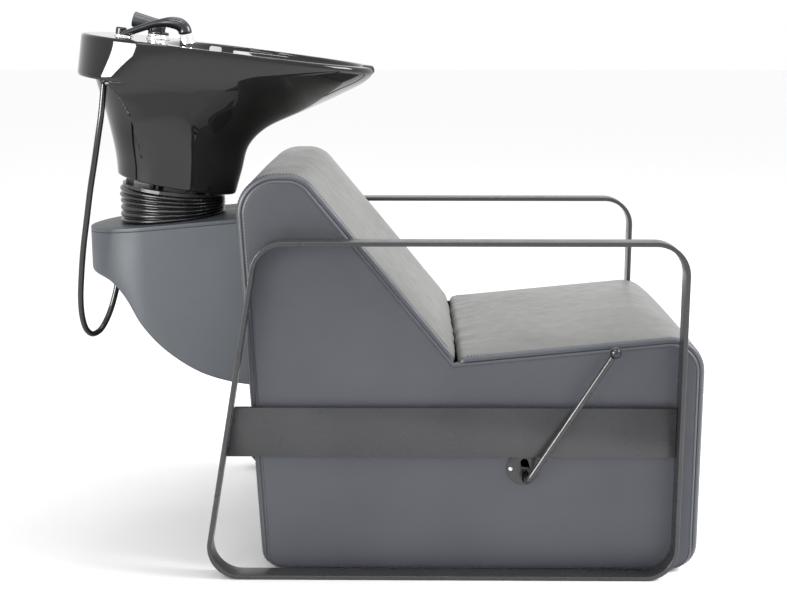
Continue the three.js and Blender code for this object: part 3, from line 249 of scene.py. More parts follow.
def sweep(line, radius_at, sides=16):
    """A round tube along a line. radius_at gives the radius at a share of its length."""
    rings = []
    side = None
    for i, point in enumerate(line):
        along = (line[min(i + 1, len(line) - 1)] - line[max(i - 1, 0)]).normalized()
        if side is None:
            side = along.orthogonal().normalized()
        side = (side - along * side.dot(along)).normalized()
        up = along.cross(side)
        r = radius_at(i / (len(line) - 1))
        rings.append([point + (side * cos(a) + up * sin(a)) * r for a in whole_turn(sides)])
    return loft(rings)


def plate(name, outline, holes, near, far):
    """A flat plate with holes. near and far place a point of the outline on each face."""
    tool = bmesh.new()
    edges = []
    loops = []
    for loop in [outline, *holes]:
        verts = [tool.verts.new(near(p)) for p in loop]
        loops.append((verts, [tool.verts.new(far(p)) for p in loop]))
        edges += [tool.edges.new((a, b)) for a, b in zip(verts, verts[1:] + verts[:1])]
    made = bmesh.ops.triangle_fill(tool, use_beauty=True, edges=edges)
    front = [f for f in made["geom"] if isinstance(f, bmesh.types.BMFace)]
    twin = {v: w for vs, ws in loops for v, w in zip(vs, ws)}
    for face in front:
        tool.faces.new([twin[v] for v in reversed(face.verts)])
    for verts, others in loops:
        for k in range(len(verts)):
            m = (k + 1) % len(verts)
            tool.faces.new((verts[k], verts[m], others[m], others[k]))
    bmesh.ops.recalc_face_normals(tool, faces=tool.faces)
    mesh = bpy.data.meshes.new(name)
    tool.to_mesh(mesh)
    tool.free()
    obj = bpy.data.objects.new(name, mesh)
    bpy.context.scene.collection.objects.link(obj)
    return obj


def round_edges(obj, width, segments=3, angle=35):
    bevel = obj.modifiers.new("round_edges", "BEVEL")
    bevel.width = width
    bevel.segments = segments
    bevel.limit_method = "ANGLE"
    bevel.angle_limit = radians(angle)
    bevel.harden_normals = False
    apply_modifiers(obj)
    smooth_by_angle(obj, angle)


def smooth_by_angle(obj, angle):
    obj.data.polygons.foreach_set("use_smooth", [True] * len(obj.data.polygons))
    tool = bmesh.new()
    tool.from_mesh(obj.data)
    for edge in tool.edges:
        edge.smooth = len(edge.link_faces) == 2 and edge.calc_face_angle(0) < radians(angle)
    tool.to_mesh(obj.data)
    tool.free()


def apply_modifiers(obj):
    graph = bpy.context.evaluated_depsgraph_get()
    graph.update()
    made = bpy.data.meshes.new_from_object(obj.evaluated_get(graph))
    obj.modifiers.clear()
    obj.data = made


def settle(obj, material, body, slot, *nodes):
    """Gives a finished piece its material, hides the CAD nodes it stands for and hangs it on its body.
    Its slot argument is not used.
    """
    obj.data.materials.clear()
    obj.data.materials.append(material)
    if nodes:
        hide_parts(*nodes)
    if body:
        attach(obj, body)


# ---- materials -----------------------------------------------------------------------------------


def new_material(name, color, roughness, metallic=0.0):
    material = bpy.data.materials.new(name)
    material.use_nodes = True
    shader = material.node_tree.nodes["Principled BSDF"]
    shader.inputs["Base Color"].default_value = (*color, 1)
    shader.inputs["Roughness"].default_value = roughness
    shader.inputs["Metallic"].default_value = metallic
    return material


def shader_of(material):
    return material.node_tree.nodes["Principled BSDF"]


def pattern(material, scale, kind="noise", stretch=(1, 1, 1), detail=2):
    """A procedural pattern in the piece's own space. scale is features per metre."""
    tree = material.node_tree
    place = tree.nodes.new("ShaderNodeTexCoord")
    mapping = tree.nodes.new("ShaderNodeMapping")
    mapping.inputs["Scale"].default_value = stretch
    tree.links.new(place.outputs["Object"], mapping.inputs["Vector"])
    node = tree.nodes.new("ShaderNodeTexVoronoi" if kind == "cells" else "ShaderNodeTexNoise")
    node.inputs["Scale"].default_value = scale
    if kind == "noise":
        node.inputs["Detail"].default_value = detail
    tree.links.new(mapping.outputs["Vector"], node.inputs["Vector"])
    return node.outputs["Distance" if kind == "cells" else "Fac"]


def levels(material, source, low, high, dark=0.0, light=1.0):
    """Maps low..high of a pattern onto dark..light."""
    node = material.node_tree.nodes.new("ShaderNodeMapRange")
    node.inputs["From Min"].default_value = low
    node.inputs["From Max"].default_value = high
    node.inputs["To Min"].default_value = dark
    node.inputs["To Max"].default_value = light
    material.node_tree.links.new(source, node.inputs["Value"])
    return node.outputs["Result"]


def vary_color(material, source, low_color, high_color):
    tree = material.node_tree
    mix = tree.nodes.new("ShaderNodeMix")
    mix.data_type = "RGBA"
    mix.inputs["A"].default_value = (*low_color, 1)
    mix.inputs["B"].default_value = (*high_color, 1)
    tree.links.new(source, mix.inputs["Factor"])
    tree.links.new(mix.outputs["Result"], shader_of(material).inputs["Base Color"])


def vary_roughness(material, source, low, high):
    made = levels(material, source, 0.3, 0.7, low, high)
    material.node_tree.links.new(made, shader_of(material).inputs["Roughness"])


def bump(material, source, distance, strength=1.0, under=None):
    """Adds relief of that depth in metres, on top of an earlier bump."""
    tree = material.node_tree
    node = tree.nodes.new("ShaderNodeBump")
    node.inputs["Strength"].default_value = strength
    node.inputs["Distance"].default_value = distance
    tree.links.new(source, node.inputs["Height"])
    if under:
        tree.links.new(under.outputs["Normal"], node.inputs["Normal"])
    tree.links.new(node.outputs["Normal"], shader_of(material).inputs["Normal"])
    return node


def leather(name, dark, light, roughness, stretch):
    """Soft upholstery leatherette: pebbled grain, slow drape, and a faint change of shade."""
    material = new_material(name, light, roughness)
    shader = shader_of(material)
    shader.inputs["Sheen Weight"].default_value = 0.12
    shader.inputs["Sheen Roughness"].default_value = 0.5
    shader.inputs["Specular IOR Level"].default_value = 0.42
    shade = pattern(material, 5, detail=4)
    vary_color(material, levels(material, shade, 0.35, 0.65), dark, light)
    drape = bump(material, pattern(material, 7, detail=2), 0.0035, 0.35)
    creases = bump(material, pattern(material, 60, stretch=stretch, detail=3), 0.0006, 0.30, drape)
    grain = pattern(material, 900, "cells", stretch)
    bump(material, levels(material, grain, 0.1, 0.7), 0.00018, 0.45, creases)
    vary_roughness(material, pattern(material, 38, detail=3), roughness - 0.05, roughness + 0.06)
    return material


def paint_edge_strip_shade(material, color):
    """Paints the strip of cover beyond the edge seams in the darker colour of the sides: painted shade
    on the faces that turn away from the top light.
    """
    tree = material.node_tree
    place = tree.nodes.new("ShaderNodeTexCoord")
    split = tree.nodes.new("ShaderNodeSeparateXYZ")
    away = tree.nodes.new("ShaderNodeMath")
    away.operation = "ABSOLUTE"
    tree.links.new(place.outputs["Object"], split.inputs["Vector"])
    tree.links.new(split.outputs["Y"], away.inputs[0])
    mix = tree.nodes.new("ShaderNodeMix")
    mix.data_type = "RGBA"
    mix.inputs["B"].default_value = (*color, 1)
    base = shader_of(material).inputs["Base Color"]
    tree.links.new(base.links[0].from_socket, mix.inputs["A"])
    # Mask of the painted shade: the cover more than 285 mm from the middle, fading in over 4.5 mm.
    tree.links.new(levels(material, away.outputs["Value"], 0.2850, 0.2895), mix.inputs["Factor"])
    tree.links.new(mix.outputs["Result"], base)


def coated_metal(name, dark, light, roughness, peel=0.00008):
    """Powder-coated or painted steel with fine orange peel."""
    material = new_material(name, light, roughness)
    vary_color(material, levels(material, pattern(material, 9, detail=3), 0.3, 0.7), dark, light)
    vary_roughness(material, pattern(material, 30, detail=4), roughness - 0.04, roughness + 0.05)
    bump(material, pattern(material, 700, detail=2), peel, 0.6)
    return material


def plated_metal(name, color, roughness, scratch=0.5):
    """Bright plate with faint smears and hairline scratches."""
    material = new_material(name, color, roughness, 1.0)
    vary_roughness(material, pattern(material, 45, detail=5), roughness * 0.7, roughness * 1.5 + 0.01)
    bump(material, pattern(material, 300, stretch=(1, 1, 9), detail=4), 0.00002, scratch)
    return material


def glazed_ceramic(name):
    """Black glaze: deep gloss over a body with the slow ripple that fired ware has."""
    material = new_material(name, (0.008, 0.007, 0.0065), 0.045)
    shader_of(material).inputs["Specular IOR Level"].default_value = 0.46
    shade = levels(material, pattern(material, 3, detail=3), 0.3, 0.7)
    vary_color(material, shade, (0.005, 0.0046, 0.0045), (0.010, 0.0090, 0.0088))
    vary_roughness(material, pattern(material, 14, detail=3), 0.03, 0.07)
    bump(material, pattern(material, 11, detail=1), 0.0010, 0.16)
    return material


def moulded(name, dark, light, roughness, grain=0.00006):
    """Moulded plastic or rubber with a fine even texture."""
    material = new_material(name, light, roughness)
    vary_color(material, levels(material, pattern(material, 14, detail=3), 0.3, 0.7), dark, light)
    vary_roughness(material, pattern(material, 55, detail=3), roughness - 0.04, roughness + 0.06)
    bump(material, pattern(material, 1100, detail=2), grain, 0.5)
    return material


def plywood(name):
    material = new_material(name, (0.60, 0.44, 0.27), 0.6)
    rings = pattern(material, 18, stretch=(0.25, 1, 6), detail=6)
    vary_color(material, levels(material, rings, 0.35, 0.65), (0.42, 0.29, 0.16), (0.68, 0.52, 0.34))
    bump(material, rings, 0.0003, 0.5)
    return material


side_leather = leather("side_leather", (0.050, 0.054, 0.066), (0.060, 0.065, 0.078), 0.44, (1, 1, 1))
# top_leather is the side leatherette with its colours painted lighter and warmer: painted light from
# the lamps above on the top faces. Its grain stretched along the cover is its own.
top_leather = leather("top_leather", (0.103, 0.104, 0.100), (0.128, 0.129, 0.123), 0.40, (1, 0.22, 1))
# Painted shade: the top cover's side-facing strips take the side leather's darker colour.
paint_edge_strip_shade(top_leather, (0.058, 0.064, 0.076))
seam_thread = moulded("seam_thread", (0.012, 0.013, 0.016), (0.020, 0.021, 0.025), 0.5)
frame_paint = coated_metal("frame_paint", (0.030, 0.030, 0.033), (0.038, 0.038, 0.041), 0.29)
black_steel = coated_metal("black_steel", (0.026, 0.026, 0.027), (0.034, 0.034, 0.036), 0.26, 0.00003)
housing_paint = coated_metal(
    "housing_paint", (0.068, 0.077, 0.090), (0.079, 0.089, 0.104), 0.5, 0.00005,
)
zinc_steel = plated_metal("zinc_steel", (0.60, 0.60, 0.58), 0.32)
chrome = plated_metal("chrome", (0.84, 0.85, 0.86), 0.07, 0.2)
black_ceramic = glazed_ceramic("black_ceramic")
black_plastic = moulded("black_plastic", (0.010, 0.010, 0.011), (0.018, 0.018, 0.020), 0.26, 0.00002)
lever_plastic = moulded("lever_plastic", (0.035, 0.038, 0.043), (0.050, 0.054, 0.060), 0.30, 0.00002)
bellows_rubber = moulded("bellows_rubber", (0.008, 0.008, 0.009), (0.014, 0.014, 0.015), 0.24, 0.00003)
hose_rubber = moulded("hose_rubber", (0.010, 0.010, 0.011), (0.016, 0.016, 0.018), 0.14, 0.00001)
spray_plastic = moulded("spray_plastic", (0.016, 0.017, 0.021), (0.024, 0.025, 0.030), 0.18, 0.00001)
matte_rubber = moulded("matte_rubber", (0.012, 0.012, 0.012), (0.020, 0.020, 0.020), 0.6)
grey_plastic = moulded("grey_plastic", (0.40, 0.41, 0.42), (0.48, 0.49, 0.50), 0.55)
board_wood = plywood("board_wood")

SLOT_MATERIALS = {
    "frame_paint": frame_paint,
    "black_steel": black_steel,
    "zinc_steel": zinc_steel,
    "housing": housing_paint,
    "side_leather": side_leather,
    "top_leather": top_leather,
    "plywood": board_wood,
    "black_ceramic": black_ceramic,
    "chrome": chrome,
    "black_plastic": black_plastic,
    "black_rubber": matte_rubber,
    "grey_plastic": grey_plastic,
}


def dress_cad_nodes():
    """Every CAD node gets its slot's material. The ones that are replaced stay hidden."""
    for row in frame["record"]["subparts"]:
        node = frame["nodes"][row["node"]]
        node.data.materials.clear()
        node.data.materials.append(SLOT_MATERIALS[row["material_slot"]])


dress_cad_nodes()

# ---- basin frame and spray hose ------------------------------------------------------------------

BASIN_LEAN = radians(7.1)
BASIN_REAR_X = -0.584
BASIN_REAR_Z = 0.9975
BASIN_PLACE = Matrix.Translation((BASIN_REAR_X, 0, BASIN_REAR_Z)) @ Matrix.Rotation(BASIN_LEAN, 4, "Y")
GLAND_TOP = Vector((-0.535, -0.020, 0.5074))
HOSE_START = BASIN_PLACE @ Vector((0.083, -0.167, -0.0851))
HOSE_DIAMETER = 0.0116
MIXER = Vector((0.137, 0.045, 0))
SPRAY = Vector((0.086, -0.045, 0))
HOLE_COVER = Vector((0.060, 0.060, 0))


def spray_hose():
    route = [
        HOSE_START,
        (-0.5155, -0.167, 0.876),
        (-0.520, -0.167, 0.844),
        (-0.529, -0.163, 0.800),
        (-0.539, -0.157, 0.753),
        (-0.550, -0.150, 0.704),
        (-0.561, -0.142, 0.648),
        (-0.573, -0.132, 0.587),
        (-0.582, -0.121, 0.530),
        (-0.588, -0.110, 0.482),
        (-0.589, -0.098, 0.443),
        (-0.585, -0.084, 0.416),
        (-0.577, -0.070, 0.405),
        (-0.566, -0.056, 0.409),
        (-0.556, -0.043, 0.425),
        (-0.547, -0.033, 0.448),
        (-0.540, -0.026, 0.473),
        (-0.536, -0.021, 0.492),
        GLAND_TOP,
    ]
    line = through(route, 10)
    hose = new_object("spray_hose_outside", *sweep(line, lambda t: HOSE_DIAMETER / 2, 20))
    settle(hose, hose_rubber, None, "black_rubber", "spray_hose")
    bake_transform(hose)


spray_hose()

# ---- lounge covers -------------------------------------------------------------------------------

BODY_LOW = 0.004
BODY = [
    (-0.221, BODY_LOW, 0.035),
    (0.593, BODY_LOW, 0.048),
    (0.593, 0.457, 0.065),
    (0.139, 0.411, 0.0),
    (-0.138, 0.747, 0.060),
    (-0.262, 0.747, 0.072),
]
COVER_DEPTH = 0.009
COVER_HALF = 0.292
CUSHION_HALF = 0.2795
EDGE_ROLL = 0.0075
PANEL_FACE = 0.296
PANEL_BACK = 0.2803
SLIT = 0.004  # half the gap between seat and backrest
SLIT_ROLL = 0.010
PATH_STEP = 0.007
FREE_HALF = 0.276  # half width of the part of a cover that may puff up
REAR_PASSAGE = (0.098, 0.425, 0.505)  # half width, low and high edges of the hole for the spine


def inside_body(distance):
    """The body's outline moved in all round, except that it still runs down to the open bottom."""
    return inset([(u, v - COVER_DEPTH if v == BODY_LOW else v, r) for u, v, r in BODY], distance)


def on_line(a, b, u):
    """Point of the line through two corners at a first coordinate."""
    return (u, a[1] + (b[1] - a[1]) * (u - a[0]) / (b[0] - a[0]))


def seat_path():
    crotch, front = BODY[3], BODY[2]
    start = on_line(crotch, front, crotch[0] + SLIT)
    return open_path([
        (start[0] + 0.006, start[1] - 0.040, 0),
        (start[0], start[1] + 0.001, SLIT_ROLL),
        front,
        BODY[1],
        (BODY[1][0] - 0.050, BODY_LOW, 0),
    ], PATH_STEP)


def back_path():
    crotch = BODY[3]
    top = BODY[4]
    down = (Vector(crotch[:2]) - Vector(top[:2])).normalized()
    foot = Vector(crotch[:2]) - down * 0.003
    return open_path([
        (-0.184, BODY_LOW, 0),
        BODY[0],
        BODY[5],
        top,
        (foot.x, foot.y, SLIT_ROLL),
        (foot.x - 0.012, foot.y - 0.042, 0),
    ], PATH_STEP)


def across_stations():
    """Stations across the cover: (distance from the middle, drop from the crown)."""
    flat = COVER_HALF - EDGE_ROLL
    half = [(flat * k / 32, 0) for k in range(33)]
    for turn in (18, 36, 54, 72, 90):
        a = radians(turn)
        half.append((flat + EDGE_ROLL * sin(a), EDGE_ROLL * (1 - cos(a))))
    half.append((COVER_HALF, COVER_DEPTH + 0.0005))
    return [(-y, drop) for y, drop in reversed(half[1:])] + half


def pucker(y, from_slit):
    """Depth of the gathers that run out from the slit, in metres."""
    wave = noise.noise((y * 26, 3.1, 0)) + 0.6 * noise.noise((y * 61, 8.4, 0))
    return 0.0042 * wave * exp(-max(0, from_slit) / 0.030)


def cover_sections(path, normals, crown_at, depth_at, from_slit):
    """Closed sections along a cover: crowned face, rolled edges and the pad under it.

    The three functions give the crown, the pad's depth and the way to the slit at a share of the
    path's length.
    """
    stations = across_stations()
    total = len(path) - 1
    sections = []
    for i, (p, n) in enumerate(zip(path, normals)):
        s = i / total
        section = []
        for y, drop in stations:
            share = abs(y) / COVER_HALF
            crown = crown_at(s) * (1 - share ** 2.6)
            soft = 0.0009 * noise.noise((p.x * 9, y * 9, p.y * 9)) * (1 - share ** 6)
            lift = crown + soft + pucker(y, from_slit(s)) * (1 - share ** 8) - drop
            section.append(Vector((p.x + n.x * lift, y, p.y + n.y * lift)))
        under = COVER_DEPTH + depth_at(s)
        pad = [(CUSHION_HALF, COVER_DEPTH), (CUSHION_HALF, under), (0.1, under)]
        for y, depth in pad + [(-y, depth) for y, depth in reversed(pad)]:
            section.append(Vector((p.x - n.x * depth, y, p.y - n.y * depth)))
        sections.append(section)
    return sections


def puff(obj, is_free, cap, pressure=4.0, frames=16):
    """Blows up the free part of a cover as cloth, and keeps each point's move under a cap."""
    before = [v.co.copy() for v in obj.data.vertices]
    held = obj.vertex_groups.new(name="held")
    for v in obj.data.vertices:
        held.add([v.index], 0.0 if is_free(v.co) else 1.0, "REPLACE")
    cloth = obj.modifiers.new("air", "CLOTH")
    cloth.settings.vertex_group_mass = "held"
    cloth.settings.use_pressure = True
    cloth.settings.uniform_pressure_force = pressure
    cloth.settings.quality = 5
    cloth.settings.mass = 0.4
    cloth.settings.tension_stiffness = 30
    cloth.settings.compression_stiffness = 30
    cloth.settings.bending_stiffness = 1.2
    cloth.settings.effector_weights.gravity = 0
    cloth.point_cache.frame_end = frames
    for step in range(1, frames + 1):
        bpy.context.scene.frame_set(step)
    apply_modifiers(obj)
    bpy.context.scene.frame_set(1)
    obj.vertex_groups.clear()
    for v, start in zip(obj.data.vertices, before):
        move = v.co - start
        if move.length > cap:
            v.co = start + move.normalized() * cap


def stitches(name, places, body, slot):
    """A row of short thread stitches. Each place is (point, along, out)."""
    verts, faces = [], []
    length, radius = 0.0044, 0.0008
    for point, along, out in places:
        across = along.cross(out).normalized()
        rings = []
        for t, scale in ((-0.5, 0.35), (-0.3, 1), (0.3, 1), (0.5, 0.35)):
            rise = 0.25 if abs(t) < 0.4 else -0.5
            centre = point + along * (t * length) + out * (radius * rise)
            ring = [(across * cos(a) + out * sin(a)) * radius * scale for a in whole_turn(6)]
            rings.append([centre + offset for offset in ring])
        base = len(verts)
        made, quads = loft(rings)
        verts += made
        faces += [tuple(base + i for i in face) for face in quads]
    settle(new_object(name, verts, faces), seam_thread, body, slot)


STITCH_STEP = 0.0060


def along_path(points, start, end, step):
    """(point, direction) at even steps along part of a line."""
    places = []
    run = 0.0
    for a, b in zip(points, points[1:]):
        span = (b - a).length
        while run < span:
            places.append((a.lerp(b, run / span), (b - a).normalized()))
            run += step
        run -= span
    return places[int(len(places) * start):ceil(len(places) * end)]


def edge_stitches(name, path, start, end):
    """Two rows of stitches beside each edge seam of a cover."""
    places = []
    flat = COVER_HALF - EDGE_ROLL
    for side in (-1, 1):
        for y in (flat + 0.002, flat - 0.004):
            drop = 0.0004 if y > flat else 0
            for point, direction in along_path(path, start, end, STITCH_STEP):
                out = Vector((-direction.y, 0, direction.x))
                lifted = Vector((point.x, side * y, point.y)) - out * drop
                places.append((lifted, Vector((direction.x, 0, direction.y)), out))
    stitches(name, places, "lounge", "top_leather")


def seat_cover():
    path, normals = seat_path()
    total = len(path) - 1
    top_end = next(i for i, p in enumerate(path) if p.x > 0.54) / total

    def crown_at(s):
        rise = smoothstep(0.0, 0.16, s) * (1 - smoothstep(top_end - 0.05, top_end + 0.10, s))
        return 0.0085 * rise + 0.0012

    def depth_at(s):
        ahead = 1 - smoothstep(top_end - 0.02, top_end + 0.05, s)
        return 0.0003 + 0.046 * smoothstep(0.07, 0.12, s) * ahead

    def from_slit(s):
        return s * total * PATH_STEP - 0.03

    sections = cover_sections(path, normals, crown_at, depth_at, from_slit)
    cover = new_object("seat_cover", *loft(sections))

    def is_free(co):
        on_top = co.z > 0.405 + 0.1 * (co.x - BODY[3][0])
        return abs(co.y) < FREE_HALF and 0.175 < co.x < 0.572 and on_top

    puff(cover, is_free, 0.012)
    settle(cover, top_leather, "lounge", "top_leather", "seat_cushion", "front_panel")
    edge_stitches("seat_stitches", path, 0.06, 0.97)


def back_cover():
    path, normals = back_path()
    total = len(path) - 1
    face_start = next(i for i, p in enumerate(path) if p.x > -0.13) / total

    def crown_at(s):
        face = smoothstep(face_start - 0.10, face_start + 0.05, s) * (1 - smoothstep(0.90, 1.0, s))
        return 0.0075 * face + 0.0012

    def depth_at(s):
        ahead = 1 - smoothstep(0.84, 0.90, s)
        return 0.0003 + 0.040 * smoothstep(face_start + 0.02, face_start + 0.08, s) * ahead

    def from_slit(s):
        return (1 - s) * total * PATH_STEP - 0.03

    sections = cover_sections(path, normals, crown_at, depth_at, from_slit)
    verts, faces = loft(sections)
    half, low, high = REAR_PASSAGE

    def in_passage(face):
        middle = sum((verts[i] for i in face), Vector()) / len(face)
        level = low - 0.004 < middle.z < high + 0.004
        return middle.x < -0.21 and abs(middle.y) < half + 0.002 and level

    kept = [face for face in faces if not in_passage(face)]
    cover = new_object("back_cover", verts, kept)
    tool = bmesh.new()
    tool.from_mesh(cover.data)
    bmesh.ops.bridge_loops(tool, edges=[e for e in tool.edges if e.is_boundary])
    bmesh.ops.recalc_face_normals(tool, faces=tool.faces)
    tool.to_mesh(cover.data)
    tool.free()
    cover.data.polygons.foreach_set("use_smooth", [True] * len(cover.data.polygons))

    def is_free(co):
        facing = Vector((co.x + 0.138, co.z - 0.747)).dot(Vector((0.7716, 0.6361)))
        return abs(co.y) < FREE_HALF and -0.10 < co.x < 0.10 and facing > -0.004

    puff(cover, is_free, 0.010)
    settle(cover, top_leather, "lounge", "top_leather", "backrest_cushion", "rear_panel")
    edge_stitches("back_stitches", path, 0.03, 0.95)


LEVER_PIVOT = Vector((0.192, 0.191))
LEVER_FOOT = Vector((0.270, 0.185))
LEVER_KNOB = Vector((0.424, 0.430))
LEVER_Y = -0.324
LEVER_THROW = radians(21)
LEVER_RADIUS = 0.00575
KNOB_RADIUS = 0.0105
ESCUTCHEON = (0.264, 0.203)
ESCUTCHEON_RADIUS = 0.031


def lever_slot(width):
    """Curved slot that the lever's foot travels in."""
    arm = LEVER_FOOT - LEVER_PIVOT
    reach = arm.length
    rest = atan2(arm.y, arm.x)
    low, high = rest - 0.002 / reach, rest + LEVER_THROW + 0.002 / reach

    def at(angle, radius):
        return LEVER_PIVOT + Vector((cos(angle), sin(angle))) * radius

    def end(angle, start):
        middle = at(angle, reach)
        turns = [start + pi * k / 8 for k in range(9)]
        return [middle + Vector((cos(turn), sin(turn))) * width for turn in turns]

    inner = [at(lerp(high, low, k / 8), reach - width) for k in range(1, 8)]
    outer = [at(lerp(low, high, k / 8), reach + width) for k in range(1, 8)]
    return end(high, high) + inner + end(low, low + pi) + outer


def tube_slot(node):
    """Slot that lets a side panel slide past a cross tube."""
    low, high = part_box(node)
    margin = 0.006
    travel = 0.090
    corners = [
        (low.x - travel - margin, low.z - margin, 0),
        (high.x + margin, low.z - margin, 0),
        (high.x + margin, high.z + margin, 0),
        (low.x - travel - margin, high.z + margin, 0),
    ]
    return rounded(corners)


def side_cover(name, side):
    """Upholstered side panel: flat face, rolled edge that turns in to the seam, and its slots."""
    rim = [
        (0.0006, PANEL_BACK),
        (0.0006, 0.2885),
        (0.0008, 0.2908),
        (0.0016, 0.2930),
        (0.0032, 0.2946),
        (0.0056, 0.2956),
        (0.0090, 0.29595),
        (0.0130, PANEL_FACE),
    ]
    loops = []
    for distance, y in rim:
        outline = rounded(inside_body(COVER_DEPTH + distance), radians(4))
        loops.append([Vector((p.x, side * y, p.y)) for p in outline])
    holes = [tube_slot("cross_tube_front"), tube_slot("cross_tube_rear")]
    if side < 0:
        holes.append(lever_slot(LEVER_RADIUS + 0.003))
    face = [Vector((p.x, p.z)) for p in loops[-1]]
    panel = plate(
        f"side_cover_{name}", face, holes,
        lambda p: (p.x, side * PANEL_FACE, p.y), lambda p: (p.x, side * PANEL_BACK, p.y),
    )
    tool = bmesh.new()
    tool.from_mesh(panel.data)
    count = len(loops[0])
    walls = [f for f in tool.faces if all(v.index < 2 * count for v in f.verts)]
    bmesh.ops.delete(tool, geom=[f for f in walls if abs(f.normal.y) < 0.5], context="FACES_ONLY")
    verts, faces = loft(loops, caps=False)
    back_ring = [Vector((p.x, side * PANEL_BACK, p.z)) for p in loops[-1]]
    more, back_faces = loft([back_ring, loops[0]], caps=False)
    for points, quads in ((verts, faces), (more, back_faces)):
        new = [tool.verts.new(p) for p in points]
        for quad in quads:
            tool.faces.new([new[i] for i in quad])
    bmesh.ops.remove_doubles(tool, verts=tool.verts, dist=1e-5)
    bmesh.ops.recalc_face_normals(tool, faces=tool.faces)
    tool.to_mesh(panel.data)
    tool.free()
    smooth_by_angle(panel, 50)
    settle(panel, side_leather, "lounge", "side_leather", f"side_panel_{name}")
    seam = rounded(inside_body(COVER_DEPTH + 0.0062), radians(3))
    places = []
    for point, direction in along_path([*seam, seam[0]], 0, 1, STITCH_STEP):
        place = Vector((point.x, side * 0.2957, point.y))
        places.append((place, Vector((direction.x, 0, direction.y)), Vector((0, side, 0))))
    stitches(f"side_stitches_{name}", places, "lounge", "side_leather")


seat_cover()
back_cover()
side_cover("right", -1)
side_cover("left", 1)

# ---- arm loops and bands -------------------------------------------------------------------------

BAR_THICK = 0.008
LOOP_BEND = 0.062
LOOP_FOOT_X = -0.331
LOOP_TOP_X = -0.222
LOOP_HEIGHT = 0.633


def arm_loop(name):
    """Flat bar bent into a closed loop, with softly broken edges."""
    low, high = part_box(f"arm_loop_{name}")
    corners = [
        (LOOP_FOOT_X, 0, LOOP_BEND),
        (high.x, 0, LOOP_BEND),
        (high.x, high.z, LOOP_BEND),
        (LOOP_TOP_X, high.z, LOOP_BEND),
    ]
    outer = rounded(corners, radians(3))
    inner = rounded(inset(corners, BAR_THICK), radians(3))
    sections = []
    for a, b in zip(outer, inner):
        corners_here = ((a, low.y), (a, high.y), (b, high.y), (b, low.y))
        sections.append([(p.x, y, p.y) for p, y in corners_here])
    loop = new_object(f"loop_bar_{name}", *loft(sections, along=True))
    round_edges(loop, 0.0013, 3, 40)
    settle(loop, frame_paint, "stand", "frame_paint", f"arm_loop_{name}")


def side_band(name):
    """Wide flat plate between the loop's legs, with broken edges."""
    low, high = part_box(f"side_band_{name}")
    lean = (LOOP_TOP_X - LOOP_FOOT_X) / LOOP_HEIGHT
    top = low.x + lean * (high.z - low.z)
    outline = [
        Vector((low.x, low.z)),
        Vector((high.x, low.z)),
        Vector((high.x, high.z)),
        Vector((top, high.z)),
    ]
    band = plate(
        f"band_plate_{name}", outline, [],
        lambda p: (p.x, low.y, p.y), lambda p: (p.x, high.y, p.y),
    )
    round_edges(band, 0.0012, 3, 40)
    settle(band, frame_paint, "stand", "frame_paint", f"side_band_{name}")


for hand in ("right", "left"):
    arm_loop(hand)
    side_band(hand)

# ---- housing and bellows -------------------------------------------------------------------------

POD_REAR = -0.584
POD_FRONT = -0.260
POD_HALF = 0.128
POD_TOP_SLOPE = 0.0911
LID_THICK = 0.008
PIVOT_X = -0.420
POD_FLOOR = through([
    (-0.577, 0.530),
    (-0.530, 0.517),
    (-0.500, 0.488),
    (-0.468, 0.434),
    (-0.425, 0.386),
    (-0.360, 0.342),
    (-0.300, 0.322),
    (-0.243, 0.313),
], 12)


def pod_top(x):
    return 0.616 + POD_TOP_SLOPE * (x - POD_REAR)


def pod_floor(x):
    if x <= POD_FLOOR[0].x:
        return POD_FLOOR[0].y
    for a, b in zip(POD_FLOOR, POD_FLOOR[1:]):
        if a.x <= x <= b.x:
            return lerp(a.y, b.y, (x - a.x) / (b.x - a.x))
    return POD_FLOOR[-1].y


def pod_width(x):
    centre = POD_REAR + POD_HALF
    return POD_HALF if x >= centre else sqrt(max(POD_HALF ** 2 - (x - centre) ** 2, 0))


def pod_shell():
    """Thin housing: a round-ended trough with an S-curved floor and a softened lower edge."""
    centre = POD_REAR + POD_HALF
    stations = [centre - POD_HALF * cos(radians(a)) for a in range(2, 91, 2)]
    stations += [lerp(centre, POD_FRONT, k / 40) for k in range(1, 41)]
    sections = []
    for x in stations:
        w = pod_width(x)
        high = pod_top(x) - LID_THICK - 0.0003
        low = pod_floor(x)
        r = min(0.007, w * 0.9)
        half = [(w, lerp(low + r, high, share)) for share in (1, 0.66, 0.33, 0)]
        for turn in (22, 45, 67, 90):
            a = radians(turn)
            half.append((w - r * (1 - cos(a)), low + r - r * sin(a)))
        half += [((w - r) * t, low) for t in (0.66, 0.33)]
        section = [Vector((x, -y, z)) for y, z in half] + [Vector((x, 0, low))]
        section += [Vector((x, y, z)) for y, z in reversed(half)]
        sections.append(section)
    shell = new_object("housing_shell", *loft(sections, around=False, caps=False))
    wall = shell.modifiers.new("wall", "SOLIDIFY")
    wall.thickness = 0.0038
    wall.offset = -1
    apply_modifiers(shell)
    smooth_by_angle(shell, 40)
    settle(shell, housing_paint, "stand", "housing", "pod_shell")


def pod_lid():
    centre = POD_REAR + POD_HALF
    angles = [radians(90 - 3 * k) for k in range(61)]
    arc = [Vector((centre - POD_HALF * cos(a), -POD_HALF * sin(a))) for a in angles]
    outline = [Vector((POD_FRONT, -POD_HALF)), *arc, Vector((POD_FRONT, POD_HALF))]
    lid = plate(
        "housing_lid", outline, [circle(PIVOT_X, 0, 0.086, 64)],
        lambda p: (p.x, p.y, pod_top(p.x)), lambda p: (p.x, p.y, pod_top(p.x) - LID_THICK),
    )
    round_edges(lid, 0.0016, 3, 40)
    settle(lid, housing_paint, "stand", "housing", "pod_lid")


